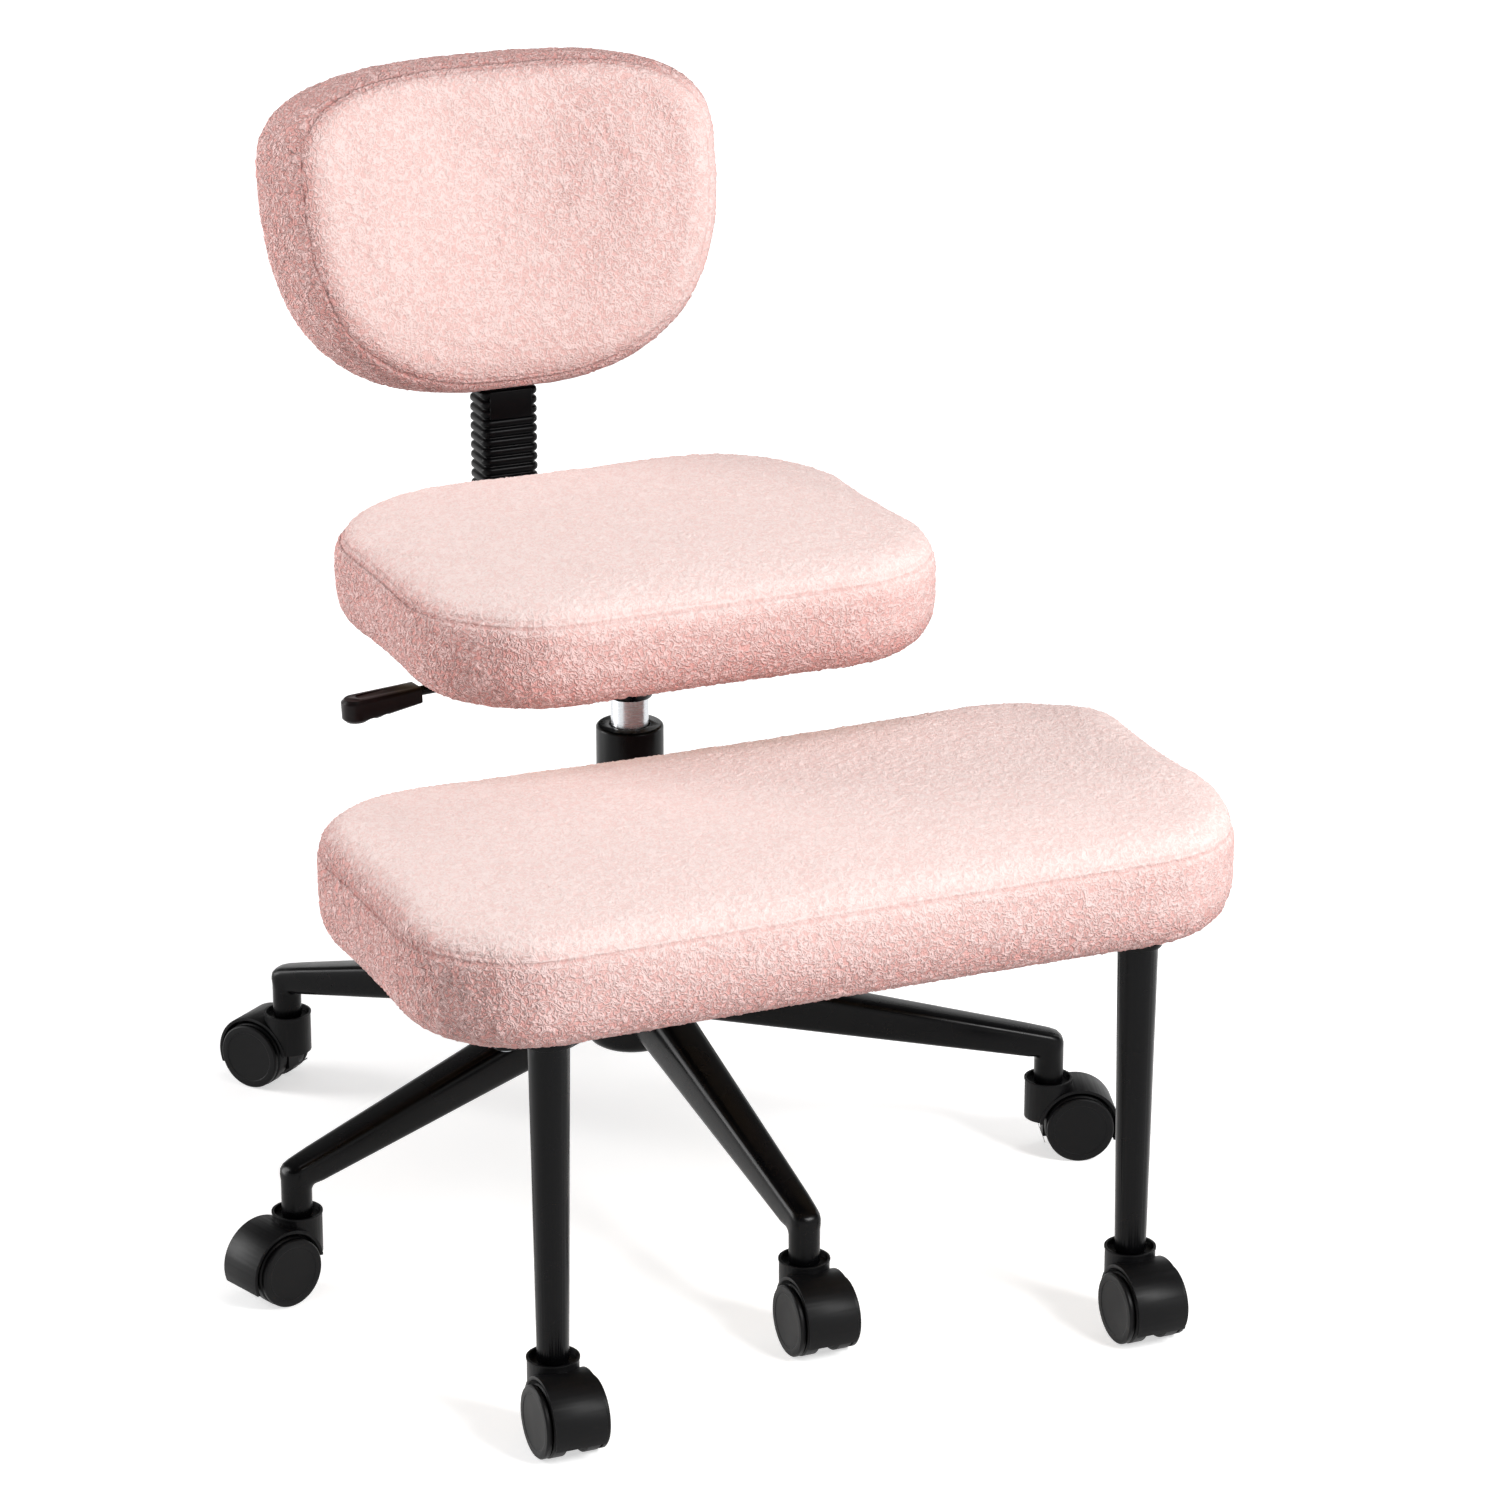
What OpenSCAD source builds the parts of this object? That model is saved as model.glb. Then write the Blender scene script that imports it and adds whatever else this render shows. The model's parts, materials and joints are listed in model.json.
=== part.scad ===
// Swivel stool chair with a long rolling footrest bench, in millimetres.
// The origin is on the floor under the column, +Z is up and the sitter faces -Y.

/* [Column] */
// Outside diameter of the black outer tube
tube_d = 50; // [46:1:54]
// Wall of the outer tube
tube_wall = 2.2; // [1.5:0.1:3]
// Height of the outer tube's bottom above the floor
tube_bottom_z = 110; // [108:1:114]
// Height of the outer tube's top above the floor
tube_top_z = 358; // [348:1:366]
// Diameter of the bright pressure tube
lift_d = 28; // [26:1:30]
// Wall of the pressure tube
lift_wall = 1.5; // [1:0.1:2]
// Bright tube that shows under the seat at the lowest setting
lift_show = 22; // [14:1:40]
// How far the seat rises
lift_stroke = 80; // [50:5:85]
// Diameter of the piston rod
rod_d = 10; // [8:1:12]

/* [Star base] */
// Number of arms
arm_count = 5; // [5:1:6]
// Distance from the column to each caster's stem
arm_reach = 317; // [290:1:340]
// Diameter of the hub
hub_d = 68; // [64:1:76]
// Height of the hub's bottom above the floor
hub_bottom_z = 106; // [104:1:108]
// Height of the hub's top above the floor
hub_top_z = 178; // [176:1:182]
// Width of an arm at the hub
arm_root_w = 37; // [31:1:42]
// Depth of an arm at the hub
arm_root_h = 40; // [36:1:50]
// Diameter of the upright post at an arm's end
post_d = 22.3; // [21:0.1:24]
// Height of an arm's outer corner above the floor
arm_end_z = 99.5; // [96:0.5:104]

/* [Casters] */
// Diameter of a caster wheel
wheel_d = 52; // [49:1:54]
// Width of one wheel
wheel_w = 16.5; // [15:0.5:17.5]
// Width of the web between the two wheels
web_w = 13; // [12:0.1:14]
// Distance from the swivel stem back to the axle
caster_trail = 22; // [18:1:24]
// Height of the caster's collar above the floor
collar_z = 61.5; // [60:0.5:65]
// Diameter of the round stem boss
boss_d = 37; // [35:1:40]
// Width of the hood over the wheels
hood_w = 37; // [35:0.5:38]
// Wall of the hood
hood_wall = 2.4; // [1.8:0.1:2.8]
// Height of the hood's lower edge above the floor
hood_edge_z = 15; // [13:1:18]

/* [Seat] */
// Width of the seat cushion
seat_w = 405; // [380:1:440]
// Depth of the seat cushion, front to back
seat_d = 325; // [310:1:350]
// Thickness of the seat cushion at its crown
seat_h = 91.5; // [84:0.5:100]
// Radius of the cushion's corners in plan
seat_corner_r = 97; // [80:1:110]
// Radius of the cushion's upper edge
seat_edge_r = 28; // [24:1:34]
// How far the cushion's centre lies in front of the column
seat_forward = 10.5; // [5:0.5:15]

/* [Footrest bench] */
// Width of the bench cushion
bench_w = 617; // [590:1:640]
// Depth of the bench cushion, front to back
bench_d = 321; // [311:1:331]
// Thickness of the bench cushion at its crown
bench_h = 93; // [86:0.5:95]
// Radius of the bench cushion's corners in plan
bench_corner_r = 90; // [76:1:104]
// Radius of the bench cushion's upper edge
bench_edge_r = 26; // [22:1:32]
// How far the bench's centre lies in front of the column
bench_reach = 270; // [266:1:280]
// Height of the bench board's underside above the floor
bench_z = 296; // [290:1:298]
// Half the distance between the two legs
leg_x = 220; // [200:1:230]
// How far the legs stand in front of the column
leg_forward = 391; // [386:1:396]
// Diameter of a leg at its top
leg_top_d = 28.5; // [26:0.5:32]

/* [Backrest] */
// Width of the backrest
back_w = 363; // [340:1:380]
// Height of the backrest above its widest level
back_rise = 82; // [76:1:90]
// Height of the backrest below its widest level
back_drop = 176.5; // [172:0.5:182]
// Thickness of the backrest
back_t = 80; // [76:1:88]
// Radius of the curve round the sitter
back_wrap_r = 644; // [560:1:760]
// Lean of the backrest, in degrees
back_lean = 12; // [10:0.5:13]
// Height of the widest level above the floor
back_z = 719.5; // [714:0.5:726]
// How far the widest level lies behind the column
back_behind = 282; // [279:1:285]
// Radius of the backrest's edge
back_edge_r = 27; // [22:1:30]

/* [Back bar] */
// Width of the flat steel bar
bar_w = 36; // [32:1:37]
// Thickness of the bar
bar_t = 8; // [6:0.5:8]
// How far the upright part of the bar stands behind the column
bar_behind = 250; // [248:1:253]
// Height of the bar's upper end above the floor
bar_top_z = 634; // [624:1:638]
// Outer radius of the bar's bend
bar_bend_r = 45; // [38:1:48]
// How far the backrest moves forward
back_in = 30; // [20:1:30]
// How far the backrest moves backward
back_out = 10; // [5:1:15]
// How far the backrest moves down
back_down = 20; // [5:1:25]

/* [Bellows] */
// Width of the bellows over its ribs
bellows_w = 46; // [45:0.5:48]
// Depth of the bellows over its ribs, front to back
bellows_d = 34; // [32:0.5:36]
// Distance from one rib to the next
rib_pitch = 7.4; // [6:0.1:9]
// Depth of the grooves between the ribs
rib_depth = 2.6; // [2:0.1:2.8]

/* [Lever] */
// Distance from the column to the handle's root
handle_root = 169; // [160:1:174]
// Length of the handle
handle_l = 60; // [54:1:66]
// Width of the handle
handle_w = 21; // [18:0.5:24]
// Thickness of the handle at its rounded tip
handle_tip_h = 17; // [15:0.5:18]
// Diameter of the lever's rod
lever_rod_d = 7; // [6:0.5:8]
// Upward travel of the lever, in degrees
lever_angle = 3.2; // [2:0.1:3.2]

/* [Hidden] */
$fn = 64;

// Colours
satin_black = "#1c1c1f";
nylon_black = "#222225";
lever_black = "#241e1f";
bright_steel = "#b9bcc0";
zinc_steel = "#9a9da1";
natural_acetal = "#d8d6cc";
birch = "#c9a877";
fleece_pink = "#f0cbc6";

// Fits and overruns
overrun = 1; // how far a cut runs past a face
run_gap = 0.05; // radial clearance of a running fit
push_gap = 0.02; // radial clearance of a pressed fit
slide_gap = 0.3; // clearance of a sliding part and of a soft part
weld = 0.5; // how far welded pieces run into each other

// Column
tube_r = tube_d / 2;
lift_r = lift_d / 2;
rod_r = rod_d / 2;
tube_floor_t = 4;
lip_t = 3;
lip_gap = 1;
bush_l = 98;
bearing_h = 6;
bearing_r = 14;
collar_r = 9;
collar_h = 4;
clip_t = 2;
clip_r = 8;
clip_groove = 1;
clip_slot = 5;
rod_tail = 4;
piston_h = 15;
gland_h = 15;
tube_bevel = 1.5;
bush_bottom_z = tube_top_z - lip_t - slide_gap - bush_l;
gland_z = bush_bottom_z - lift_stroke - gland_h;
head_h = 12;
piston_spare = 8; // free travel left above and below the piston's stroke
valve_r = 3;
valve_head_r = 4;
valve_head_h = 4;
valve_stem_h = 12;
valve_gap = 0.3; // between the lever's finger and the button

// Seat mechanism, from the bottom of its socket up to the seat board
mech_z = tube_top_z + lift_show;
socket_wall = 6;
socket_r = lift_r + socket_wall;
socket_h = 24;
socket_taper_h = 8; // at the socket's lower end
socket_lip = 2.5; // wall left at the taper's lower end
box_rise = 15; // from the socket's bottom up to the box's floor
box_h = 38; // from the box's floor up to the seat board
sheet_t = 3;
plate_w = 150;
plate_d = 180;
plate_corner_r = 22;
plate_back = 20;
box_front = 35;
box_back = 125;
box_z = mech_z + box_rise;
seat_z = box_z + box_h;
plate_z = seat_z - sheet_t;
box_w = bar_w + 2 * slide_gap;
box_outer_w = box_w + 2 * sheet_t;
bar_z = box_z + sheet_t + slide_gap;
keeper_z = bar_z + bar_t + slide_gap;
keeper_front = 60;
socket_top_z = mech_z + socket_h;
lift_drop = 2; // from the socket's top down to the pressure tube's
lift_top_z = socket_top_z - lift_drop;
bolt_r = 3;
bolt_head_r = 5.5;
bolt_head_h = 4;
bolt_grip = 8;
bolt_x = 60;
bolt_y = 74;
bolt_places = [for (sx = [-1, 1], sy = [-1, 1]) [sx * bolt_x, plate_back + sy * bolt_y]];

// Lever
pivot_out = 13; // from the box's side to the lever's pivot
pivot_drop = 21; // from the seat board down to the pivot
pivot_x = -(box_outer_w / 2 + pivot_out);
pivot_z = seat_z - pivot_drop;
finger_w = 8;
finger_h = 6;
finger_reach = 6; // past the column's axis
finger_z = pivot_z - finger_h / 2;
pin_r = 2.5;
pin_head_share = 1.6; // of the pin's radius
pin_head_h = 1.5;
boss_lever_r = 6.3;
ear_gap = 14;
ear_t = 3;
ear_past = 7;
ear_drop = 26;
window_w = 11;
window_spare = 3; // room above and below the lever's finger at both ends of its travel
window_h = finger_h + 2 * (window_spare + (pivot_out + sheet_t) * tan(lever_angle));
rod_reach = handle_root + pivot_x;
rod_sweep = 3; // degrees that the rod turns towards the front
rod_droop = 1.4; // degrees that the rod hangs down
handle_sweep = 5; // degrees that the handle turns on from the rod, towards the front
handle_droop = 1.8; // degrees that it hangs down more than the rod
handle_root_h = 12.5;
handle_root_t = 6;
handle_drop = 1.5;
handle_bevel = 2.5;
handle_root_w_share = 0.84; // of the handle's width, at its root
rod_in_handle = 34;
strip_l_share = 0.42;
strip_w_share = 0.4;
strip_r_share = 0.3; // of the strip's width
strip_place_share = 0.72; // of the way from the root to the tip's centre
strip_depth = 0.8;
grip_r = 7;
grip_depth = 2.2;
grip_shares = [0.3, 0.5, 0.7];

// Clamp of the back bar
clamp_back = 80;
clamp_r = 4;
clamp_head_r = 8;
clamp_head_h = 4;
knob_r = 16;
knob_h = 18;
knob_lobes = 6;
knob_scallop_r = 5;
knob_scallop_depth = 2.2;
knob_bevel = 2;
clamp_l = 24; // of the bolt below the keeper plate

// Back bar
bar_past = 16; // of the bar in front of its slot
bar_front = clamp_back - back_out - bar_past;
bar_upright_y = bar_behind - bar_t / 2;
bend_y = bar_behind + bar_t / 2 - bar_bend_r;
bend_z = bar_z + bar_bend_r;
slot_r = clamp_r + slide_gap;
notch_depth = 3;
notch_h = 5;
notch_pitch = 12;
notch_count = 5;
notch_from_top = 9;

// Backrest's inner parts
panel_offset = 10; // from the backrest's middle back to the panel
panel_t = 8;
panel_w = 190;
panel_low = 158;
panel_high = 26;
panel_corner_r = 62;
housing_w = 58;
housing_front_t = 5; // wall in front of the bar
housing_h = 90;
housing_up = 13; // from the backrest's lowest point up to the housing
housing_bottom_z = back_z - back_drop + housing_up;
housing_top_z = housing_bottom_z + housing_h;
pocket_spare = 16; // room left above the bar's end when the backrest is down
pocket_top_z = bar_top_z + back_down + pocket_spare;
screw_r = 2;
screw_head_r = 4;
screw_head_h = 2.4;
screw_l = 9;
screw_x = 23.5;
screw_rows = [-142, -92];
mouth_gap = 2;

// Bellows
bellows_up = 6; // from the bar's bend up to the bellows
bellows_bottom_z = bend_z + bellows_up;
bellows_top_z = housing_bottom_z - slide_gap;
bellows_corner_r = 7;
bellows_wall = 1.3;
cuff_h = 4;
rib_share = 0.56; // of a pitch that the rib takes
rib_room = bellows_top_z - bellows_bottom_z - 2 * cuff_h;
rib_count = floor(rib_room / rib_pitch);
rib_step = rib_room / rib_count;
front_panel_h = 22;
front_panel_w = 34;
front_panel_drop = 5;

// Bench frame
sleeve_wall = 4;
bush_wall = 3;
flange_h = 3;
flange_r = 33;
sleeve_r = tube_r + bush_wall + sleeve_wall;
frame_sheet = 4;
arm_w = 50;
arm_h = 30;
arm_wall = 2;
arm_l = 282;
arm_top_z = bench_z - frame_sheet;
sleeve_z = hub_top_z + flange_h + 2 * slide_gap;
bench_plate_w = 180;
bench_plate_d = 180;
bench_plate_r = 20;
bench_plate_behind = 50; // from the bench's centre back to the plate's
bench_plate_forward = bench_reach - bench_plate_behind;
gusset_t = 6;
gusset_h = 56;
gusset_l = 66;
leg_pad_r = 17;
leg_plate_w = 74;
leg_plate_d = 58;
leg_plate_back = 26;
leg_plate_r = 9;
wood_screw_r = 2.4;
wood_screw_head_r = 4.6;
wood_screw_head_h = 2.2;
wood_screw_l = 9;
board_t = 12;
bench_screw_places = [
    for (sx = [-1, 1], sy = [-1, 1])
        [sx * (bench_plate_w / 2 - bench_plate_r),
         -bench_plate_forward + sy * (bench_plate_d / 2 - bench_plate_r)],
    for (side = [-1, 1], sx = [-1, 1], sy = [-1, 1])
        [side * leg_x + sx * (leg_plate_w / 2 - leg_plate_r),
         leg_plate_back - leg_forward + sy * (leg_plate_d / 2 - leg_plate_r)]
];

// Casters
wheel_r = wheel_d / 2;
axle_z = wheel_r;
boss_r = boss_d / 2;
wheel_gap = 2.4;
well_r = wheel_r + wheel_gap;
hood_r = well_r + hood_wall;
wheel_in = web_w / 2 + slide_gap;
wheel_out = wheel_in + wheel_w;
disc_w = 3.8;
groove_w = 1.2;
groove_depth = 3.5;
tread_bevel = 1.2;
disc_bevel = 1;
disc_drop = 0.4;
dish_r_share = 0.78;
dish_depth = 0.3;
axle_r = 2.5;
axle_end = wheel_out - disc_w;
hub_wall = 5;
wheel_web_t = 3;
spoke_depth = 4;
well_depth = 4;
well_rim = 1.8;
bead_h = 1.2; // rim round the collar's top
bead_out = 0.5;
stem_r = 4;
stem_top_r = 5.5;
stem_shoulder_r = 8;
stem_shoulder_h = 1.2;
stem_top_l = 22;
stem_up = 23; // from the hood's lower edge up to the stem's end
stem_end_z = hood_edge_z + stem_up;
post_z = collar_z - well_depth + 2 * slide_gap + stem_shoulder_h;
boss_up = 15; // from the hood's lower edge up to the boss
boss_bottom_z = hood_edge_z + boss_up;
nose_share = 0.75; // of the boss's radius that the leading side is cut back
edge_r_share = 0.3; // of the arm's width at the hub
slab_share = 1 / 8; // of the hub's diameter
arm_root_drop = 10; // from the hub's top down to an arm's
tip_bottom_share = 0.83; // of the post's diameter, from here on
tip_h_share = 0.48;
tip_in_share = 0.16;
tip_d_share = 0.62;
base_angles = [for (k = [0 : arm_count - 1]) 360 * k / arm_count];

// Cushions
corner_signs = [[1, 1], [-1, 1], [-1, -1], [1, -1]];
corner_steps = 6;
side_steps = 4;
ring_count = 4 * (corner_steps + side_steps);
foot_steps = 3;
seam_w = 3;
seam_depth = 1.6;
side_draw = 2;
foot_land = 2;
seat_foot_r = 28;
seat_crown = 6;
seat_seam_drop = 24;
bench_foot_r = 24;
bench_crown = 5;
bench_seam_drop = 25;
crown_shares = [0.86, 0.7, 0.5, 0.3, 0.12];
back_points = 44;
back_start_share = 0.5; // of a step, from the widest level to the first point
back_dish = 6;
back_seam_depth = 1.6;
back_face_shares = [0.12, 0.34, 0.58, 0.82];
upper_power_share = 2.77;
lower_power_share = 2.6;

// Rectangle with round corners, centred
module round_rect(w, d, r) {
    square([w - 2 * r, d], center = true);
    square([w, d - 2 * r], center = true);
    for (sx = [-1, 1], sy = [-1, 1])
        translate([sx * (w / 2 - r), sy * (d / 2 - r)]) circle(r);
}

// Tube along Z from z0 to z1
module ring(outer_r, inner_r, z0, z1) {
    translate([0, 0, z0]) difference() {
        cylinder(r = outer_r, h = z1 - z0);
        translate([0, 0, -overrun]) cylinder(r = inner_r, h = z1 - z0 + 2 * overrun);
    }
}

// Faces that join rows of points, n in each row, from the lowest row to the highest
function skin(n, rows) = concat(
    [[for (k = [0 : n - 1]) k]],
    [for (j = [0 : rows - 2], k = [0 : n - 1]) [j * n + k, (j + 1) * n + k, (j + 1) * n + (k + 1) % n]],
    [for (j = [0 : rows - 2], k = [0 : n - 1]) [j * n + k, (j + 1) * n + (k + 1) % n, j * n + (k + 1) % n]],
    [[for (k = [n - 1 : -1 : 0]) (rows - 1) * n + k]]
);

// One level of a cushion: a rounded rectangle, inset from the widest outline and drawn in at its sides
function level(size, r, inset, z, share) = [
    for (q = [0 : 3])
        let (
            centre = [corner_signs[q][0] * (size[0] / 2 - r), corner_signs[q][1] * (size[1] / 2 - r)],
            far = size[q % 2] - 2 * r,
            turn = 90 * (q + 1)
        )
        each concat(
            [for (k = [0 : corner_steps])
                let (a = turn - 90 + 90 * k / corner_steps)
                [share * (centre[0] + (r - inset) * cos(a)), share * (centre[1] + (r - inset) * sin(a)), z]],
            [for (k = [1 : side_steps - 1])
                let (f = k / side_steps, reach = r - inset - 4 * side_draw * f * (1 - f))
                [share * (centre[0] + reach * cos(turn) - far * f * sin(turn)),
                 share * (centre[1] + reach * sin(turn) + far * f * cos(turn)), z]]
        )
];

// Rows of a cushion from the ceiling of its board's recess, round the foot and the seam, up to the crown
function cushion_rows(size, h, r, edge_r, foot_r, crown, seam_drop) =
    let (
        arc_z = h - crown - edge_r,
        seam_a = asin((h - seam_drop - arc_z) / edge_r),
        half = seam_w / edge_r * 90 / PI,
        angles = concat(
            [0, seam_a / 2, seam_a - half, seam_a, seam_a + half],
            [for (k = [1 : 3]) seam_a + half + (90 - seam_a - half) * k / 3])
    )
    concat(
        [level(size, r, foot_r + foot_land, board_t + slide_gap, 1)],
        [level(size, r, foot_r + foot_land, 0, 1)],
        [for (k = [0 : foot_steps])
            let (a = 90 * k / foot_steps) level(size, r, foot_r * (1 - sin(a)), foot_r * (1 - cos(a)), 1)],
        [for (a = angles)
            level(size, r, edge_r * (1 - cos(a)) + (a == seam_a ? seam_depth : 0),
                arc_z + edge_r * sin(a), 1)],
        [for (s = crown_shares) level(size, r, edge_r, h - crown * s * s, s)]
    );

// Crowned cushion with a stitched seam and a recess for its board
module cushion(size, h, r, edge_r, foot_r, crown, seam_drop) {
    rows = cushion_rows(size, h, r, edge_r, foot_r, crown, seam_drop);
    polyhedron(points = [for (row = rows) each row], faces = skin(ring_count, len(rows)), convexity = 4);
}

// Board that fills a cushion's recess
module board(size, r, foot_r) {
    inset = foot_r + foot_land + side_draw + slide_gap;
    linear_extrude(board_t) round_rect(size[0] - 2 * inset, size[1] - 2 * inset, r - inset);
}

// Outline of the backrest at angle a, from its widest level
function back_outline(a) =
    let (
        power = sin(a) > 0 ? upper_power_share : lower_power_share,
        tall = sin(a) > 0 ? back_rise : back_drop
    )
    [back_w / 2 * sign(cos(a)) * pow(abs(cos(a)), 2 / power),
     tall * sign(sin(a)) * pow(abs(sin(a)), 2 / power)];

// A point of the backrest, bent round the sitter: across, towards the back and up the lean
function wrapped(p, t) =
    let (a = p[0] / back_wrap_r * 180 / PI)
    [(back_wrap_r + t) * sin(a), (back_wrap_r + t) * cos(a) - back_wrap_r, p[1]];

// One row of the backrest: its outline moved in by an inset, then shrunk to a share, at depth t
function back_row(inset, share, t) = [
    for (k = [0 : back_points - 1])
        let (p = back_outline(360 * (k + back_start_share) / back_points))
        wrapped(p * (1 - inset / norm(p)) * share, t)
];

// Rows of the backrest from the middle of its dished front, round the edge, to the middle of its rear
function back_rows() =
    let (flat = back_t / 2 - back_edge_r, seam_a = 38, half = 4)
    concat(
        [for (s = back_face_shares) back_row(back_edge_r, s, -back_t / 2 + back_dish * (1 - s * s))],
        [for (a = [90, 62, seam_a + half, seam_a, seam_a - half, 16, 0])
            back_row(back_edge_r * (1 - cos(a)) + (a == seam_a ? back_seam_depth : 0), 1,
                -flat - back_edge_r * sin(a))],
        [for (k = [0 : 4])
            let (a = 90 * k / 4) back_row(back_edge_r * (1 - cos(a)), 1, flat + back_edge_r * sin(a))],
        [for (k = [len(back_face_shares) - 1 : -1 : 0])
            back_row(back_edge_r, back_face_shares[k], back_t / 2)]
    );

// Moves a shape drawn round the backrest's middle to its place
module at_back() {
    translate([0, back_behind, back_z]) rotate([-back_lean, 0, 0]) children();
}

// How far behind the column the panel's front face lies at height z
function panel_face_y(z) = back_behind + (z - back_z) * tan(back_lean) + panel_offset / cos(back_lean);

// Side view of the ratchet housing, grown by a gap
module housing_side(gap) {
    front = bar_behind - bar_t / 2 - housing_front_t - gap;
    low = housing_bottom_z - gap;
    high = housing_top_z + gap;
    polygon([
        [front, low],
        [panel_face_y(low) + gap, low],
        [panel_face_y(high) + gap, high],
        [front, high]
    ]);
}

// Turns a side view drawn in Y and Z into a block across X
module across(w) {
    rotate([90, 0, 90]) linear_extrude(w, center = true) children();
}

// Flat plate of the backrest panel, grown by a gap
module panel_shape(gap) {
    high = panel_high + gap;
    low = panel_low + gap;
    at_back() translate([0, panel_offset + panel_t + gap, (high - low) / 2]) rotate([90, 0, 0])
        linear_extrude(panel_t + 2 * gap) round_rect(panel_w + 2 * gap, high + low, panel_corner_r);
}

// Arm of the star base, towards -Y
module star_arm() {
    edge_r = arm_root_w * edge_r_share;
    slab = hub_d * slab_share;
    root_y = hub_d / 2 - slab;
    top_z = hub_top_z - arm_root_drop;
    hull() {
        for (sx = [-1, 1], z = [top_z - edge_r, top_z - arm_root_h + edge_r])
            translate([sx * (arm_root_w / 2 - edge_r), -root_y, z])
                rotate([90, 0, 0]) cylinder(r = edge_r, h = slab / 2, $fn = 32);
        translate([0, -arm_reach, arm_end_z - post_d * tip_bottom_share])
            cylinder(d = post_d, h = post_d * tip_h_share, $fn = 32);
        translate([0, -arm_reach + post_d * tip_in_share, arm_end_z - post_d / 2])
            cylinder(d = post_d * tip_d_share, h = post_d / 2, $fn = 32);
    }
    translate([0, -arm_reach, post_z]) cylinder(d = post_d, h = arm_end_z - post_d / 2 - post_z);
}

module star_base() {
    round_r = hub_d * slab_share;
    color(satin_black) difference() {
        union() {
            rotate_extrude() {
                difference() {
                    translate([0, hub_bottom_z]) square([hub_d / 2, hub_top_z - hub_bottom_z]);
                    translate([hub_d / 2 - round_r, hub_bottom_z]) square([2 * round_r, round_r]);
                }
                translate([hub_d / 2 - round_r, hub_bottom_z + round_r]) circle(round_r);
            }
            for (a = base_angles) rotate(a) star_arm();
        }
        translate([0, 0, hub_bottom_z - overrun])
            cylinder(r = tube_r + push_gap, h = hub_top_z - hub_bottom_z + 2 * overrun);
        for (a = base_angles) rotate(a)
            translate([0, -arm_reach, post_z - overrun])
                cylinder(r = stem_top_r + push_gap, h = stem_top_l + overrun + slide_gap);
    }
}

module outer_tube() {
    lip_r = lift_r + lip_gap;
    color(satin_black) rotate_extrude() polygon([
        [rod_r + slide_gap, tube_bottom_z],
        [tube_r - tube_bevel, tube_bottom_z],
        [tube_r, tube_bottom_z + tube_bevel],
        [tube_r, tube_top_z - tube_bevel],
        [tube_r - tube_bevel, tube_top_z],
        [lip_r, tube_top_z],
        [lip_r, tube_top_z - lip_t],
        [tube_r - tube_wall, tube_top_z - lip_t],
        [tube_r - tube_wall, tube_bottom_z + tube_floor_t],
        [rod_r + slide_gap, tube_bottom_z + tube_floor_t]
    ]);
}

module guide_bush() {
    color(natural_acetal)
        ring(tube_r - tube_wall - push_gap, lift_r + run_gap, bush_bottom_z, bush_bottom_z + bush_l);
}

module thrust_bearing() {
    z = tube_bottom_z + tube_floor_t;
    color(zinc_steel) difference() {
        ring(bearing_r, rod_r + run_gap, z, z + bearing_h);
        // Groove between the two races
        translate([0, 0, z + bearing_h / 2]) rotate_extrude()
            translate([bearing_r, 0]) circle(bearing_h / 6);
    }
}

module piston_rod() {
    bearing_top = tube_bottom_z + tube_floor_t + bearing_h;
    piston_z = gland_z + gland_h + lift_stroke + piston_spare;
    rod_end_z = tube_bottom_z - rod_tail;
    clip_z = tube_bottom_z - clip_t - slide_gap;
    color(bright_steel) rotate_extrude() polygon([
        [0, rod_end_z],
        [rod_r, rod_end_z],
        [rod_r, clip_z - slide_gap / 2],
        [rod_r - clip_groove, clip_z - slide_gap / 2],
        [rod_r - clip_groove, clip_z + clip_t + slide_gap / 2],
        [rod_r, clip_z + clip_t + slide_gap / 2],
        [rod_r, bearing_top + slide_gap],
        [collar_r, bearing_top + slide_gap],
        [collar_r, bearing_top + slide_gap + collar_h],
        [rod_r, bearing_top + slide_gap + collar_h],
        [rod_r, piston_z],
        [lift_r - lift_wall - run_gap, piston_z],
        [lift_r - lift_wall - run_gap, piston_z + piston_h],
        [0, piston_z + piston_h]
    ]);
}

module retaining_clip() {
    z = tube_bottom_z - clip_t - slide_gap;
    color(zinc_steel) difference() {
        ring(clip_r, rod_r - clip_groove + push_gap, z, z + clip_t);
        translate([0, -clip_slot / 2, z - overrun])
            cube([clip_r + overrun, clip_slot, clip_t + 2 * overrun]);
    }
}

module pressure_tube() {
    bore_r = lift_r - lift_wall;
    color(bright_steel) rotate_extrude() polygon([
        [rod_r + run_gap, gland_z],
        [lift_r - tube_bevel, gland_z],
        [lift_r, gland_z + tube_bevel],
        [lift_r, lift_top_z],
        [valve_r + run_gap, lift_top_z],
        [valve_r + run_gap, lift_top_z - head_h],
        [bore_r, lift_top_z - head_h],
        [bore_r, gland_z + gland_h],
        [rod_r + run_gap, gland_z + gland_h]
    ]);
}

module valve_button() {
    top = finger_z - valve_gap;
    color(bright_steel) {
        translate([0, 0, top - valve_head_h]) cylinder(r = valve_head_r, h = valve_head_h);
        translate([0, 0, top - valve_head_h - valve_stem_h]) cylinder(r = valve_r, h = valve_stem_h + weld);
    }
}

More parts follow.
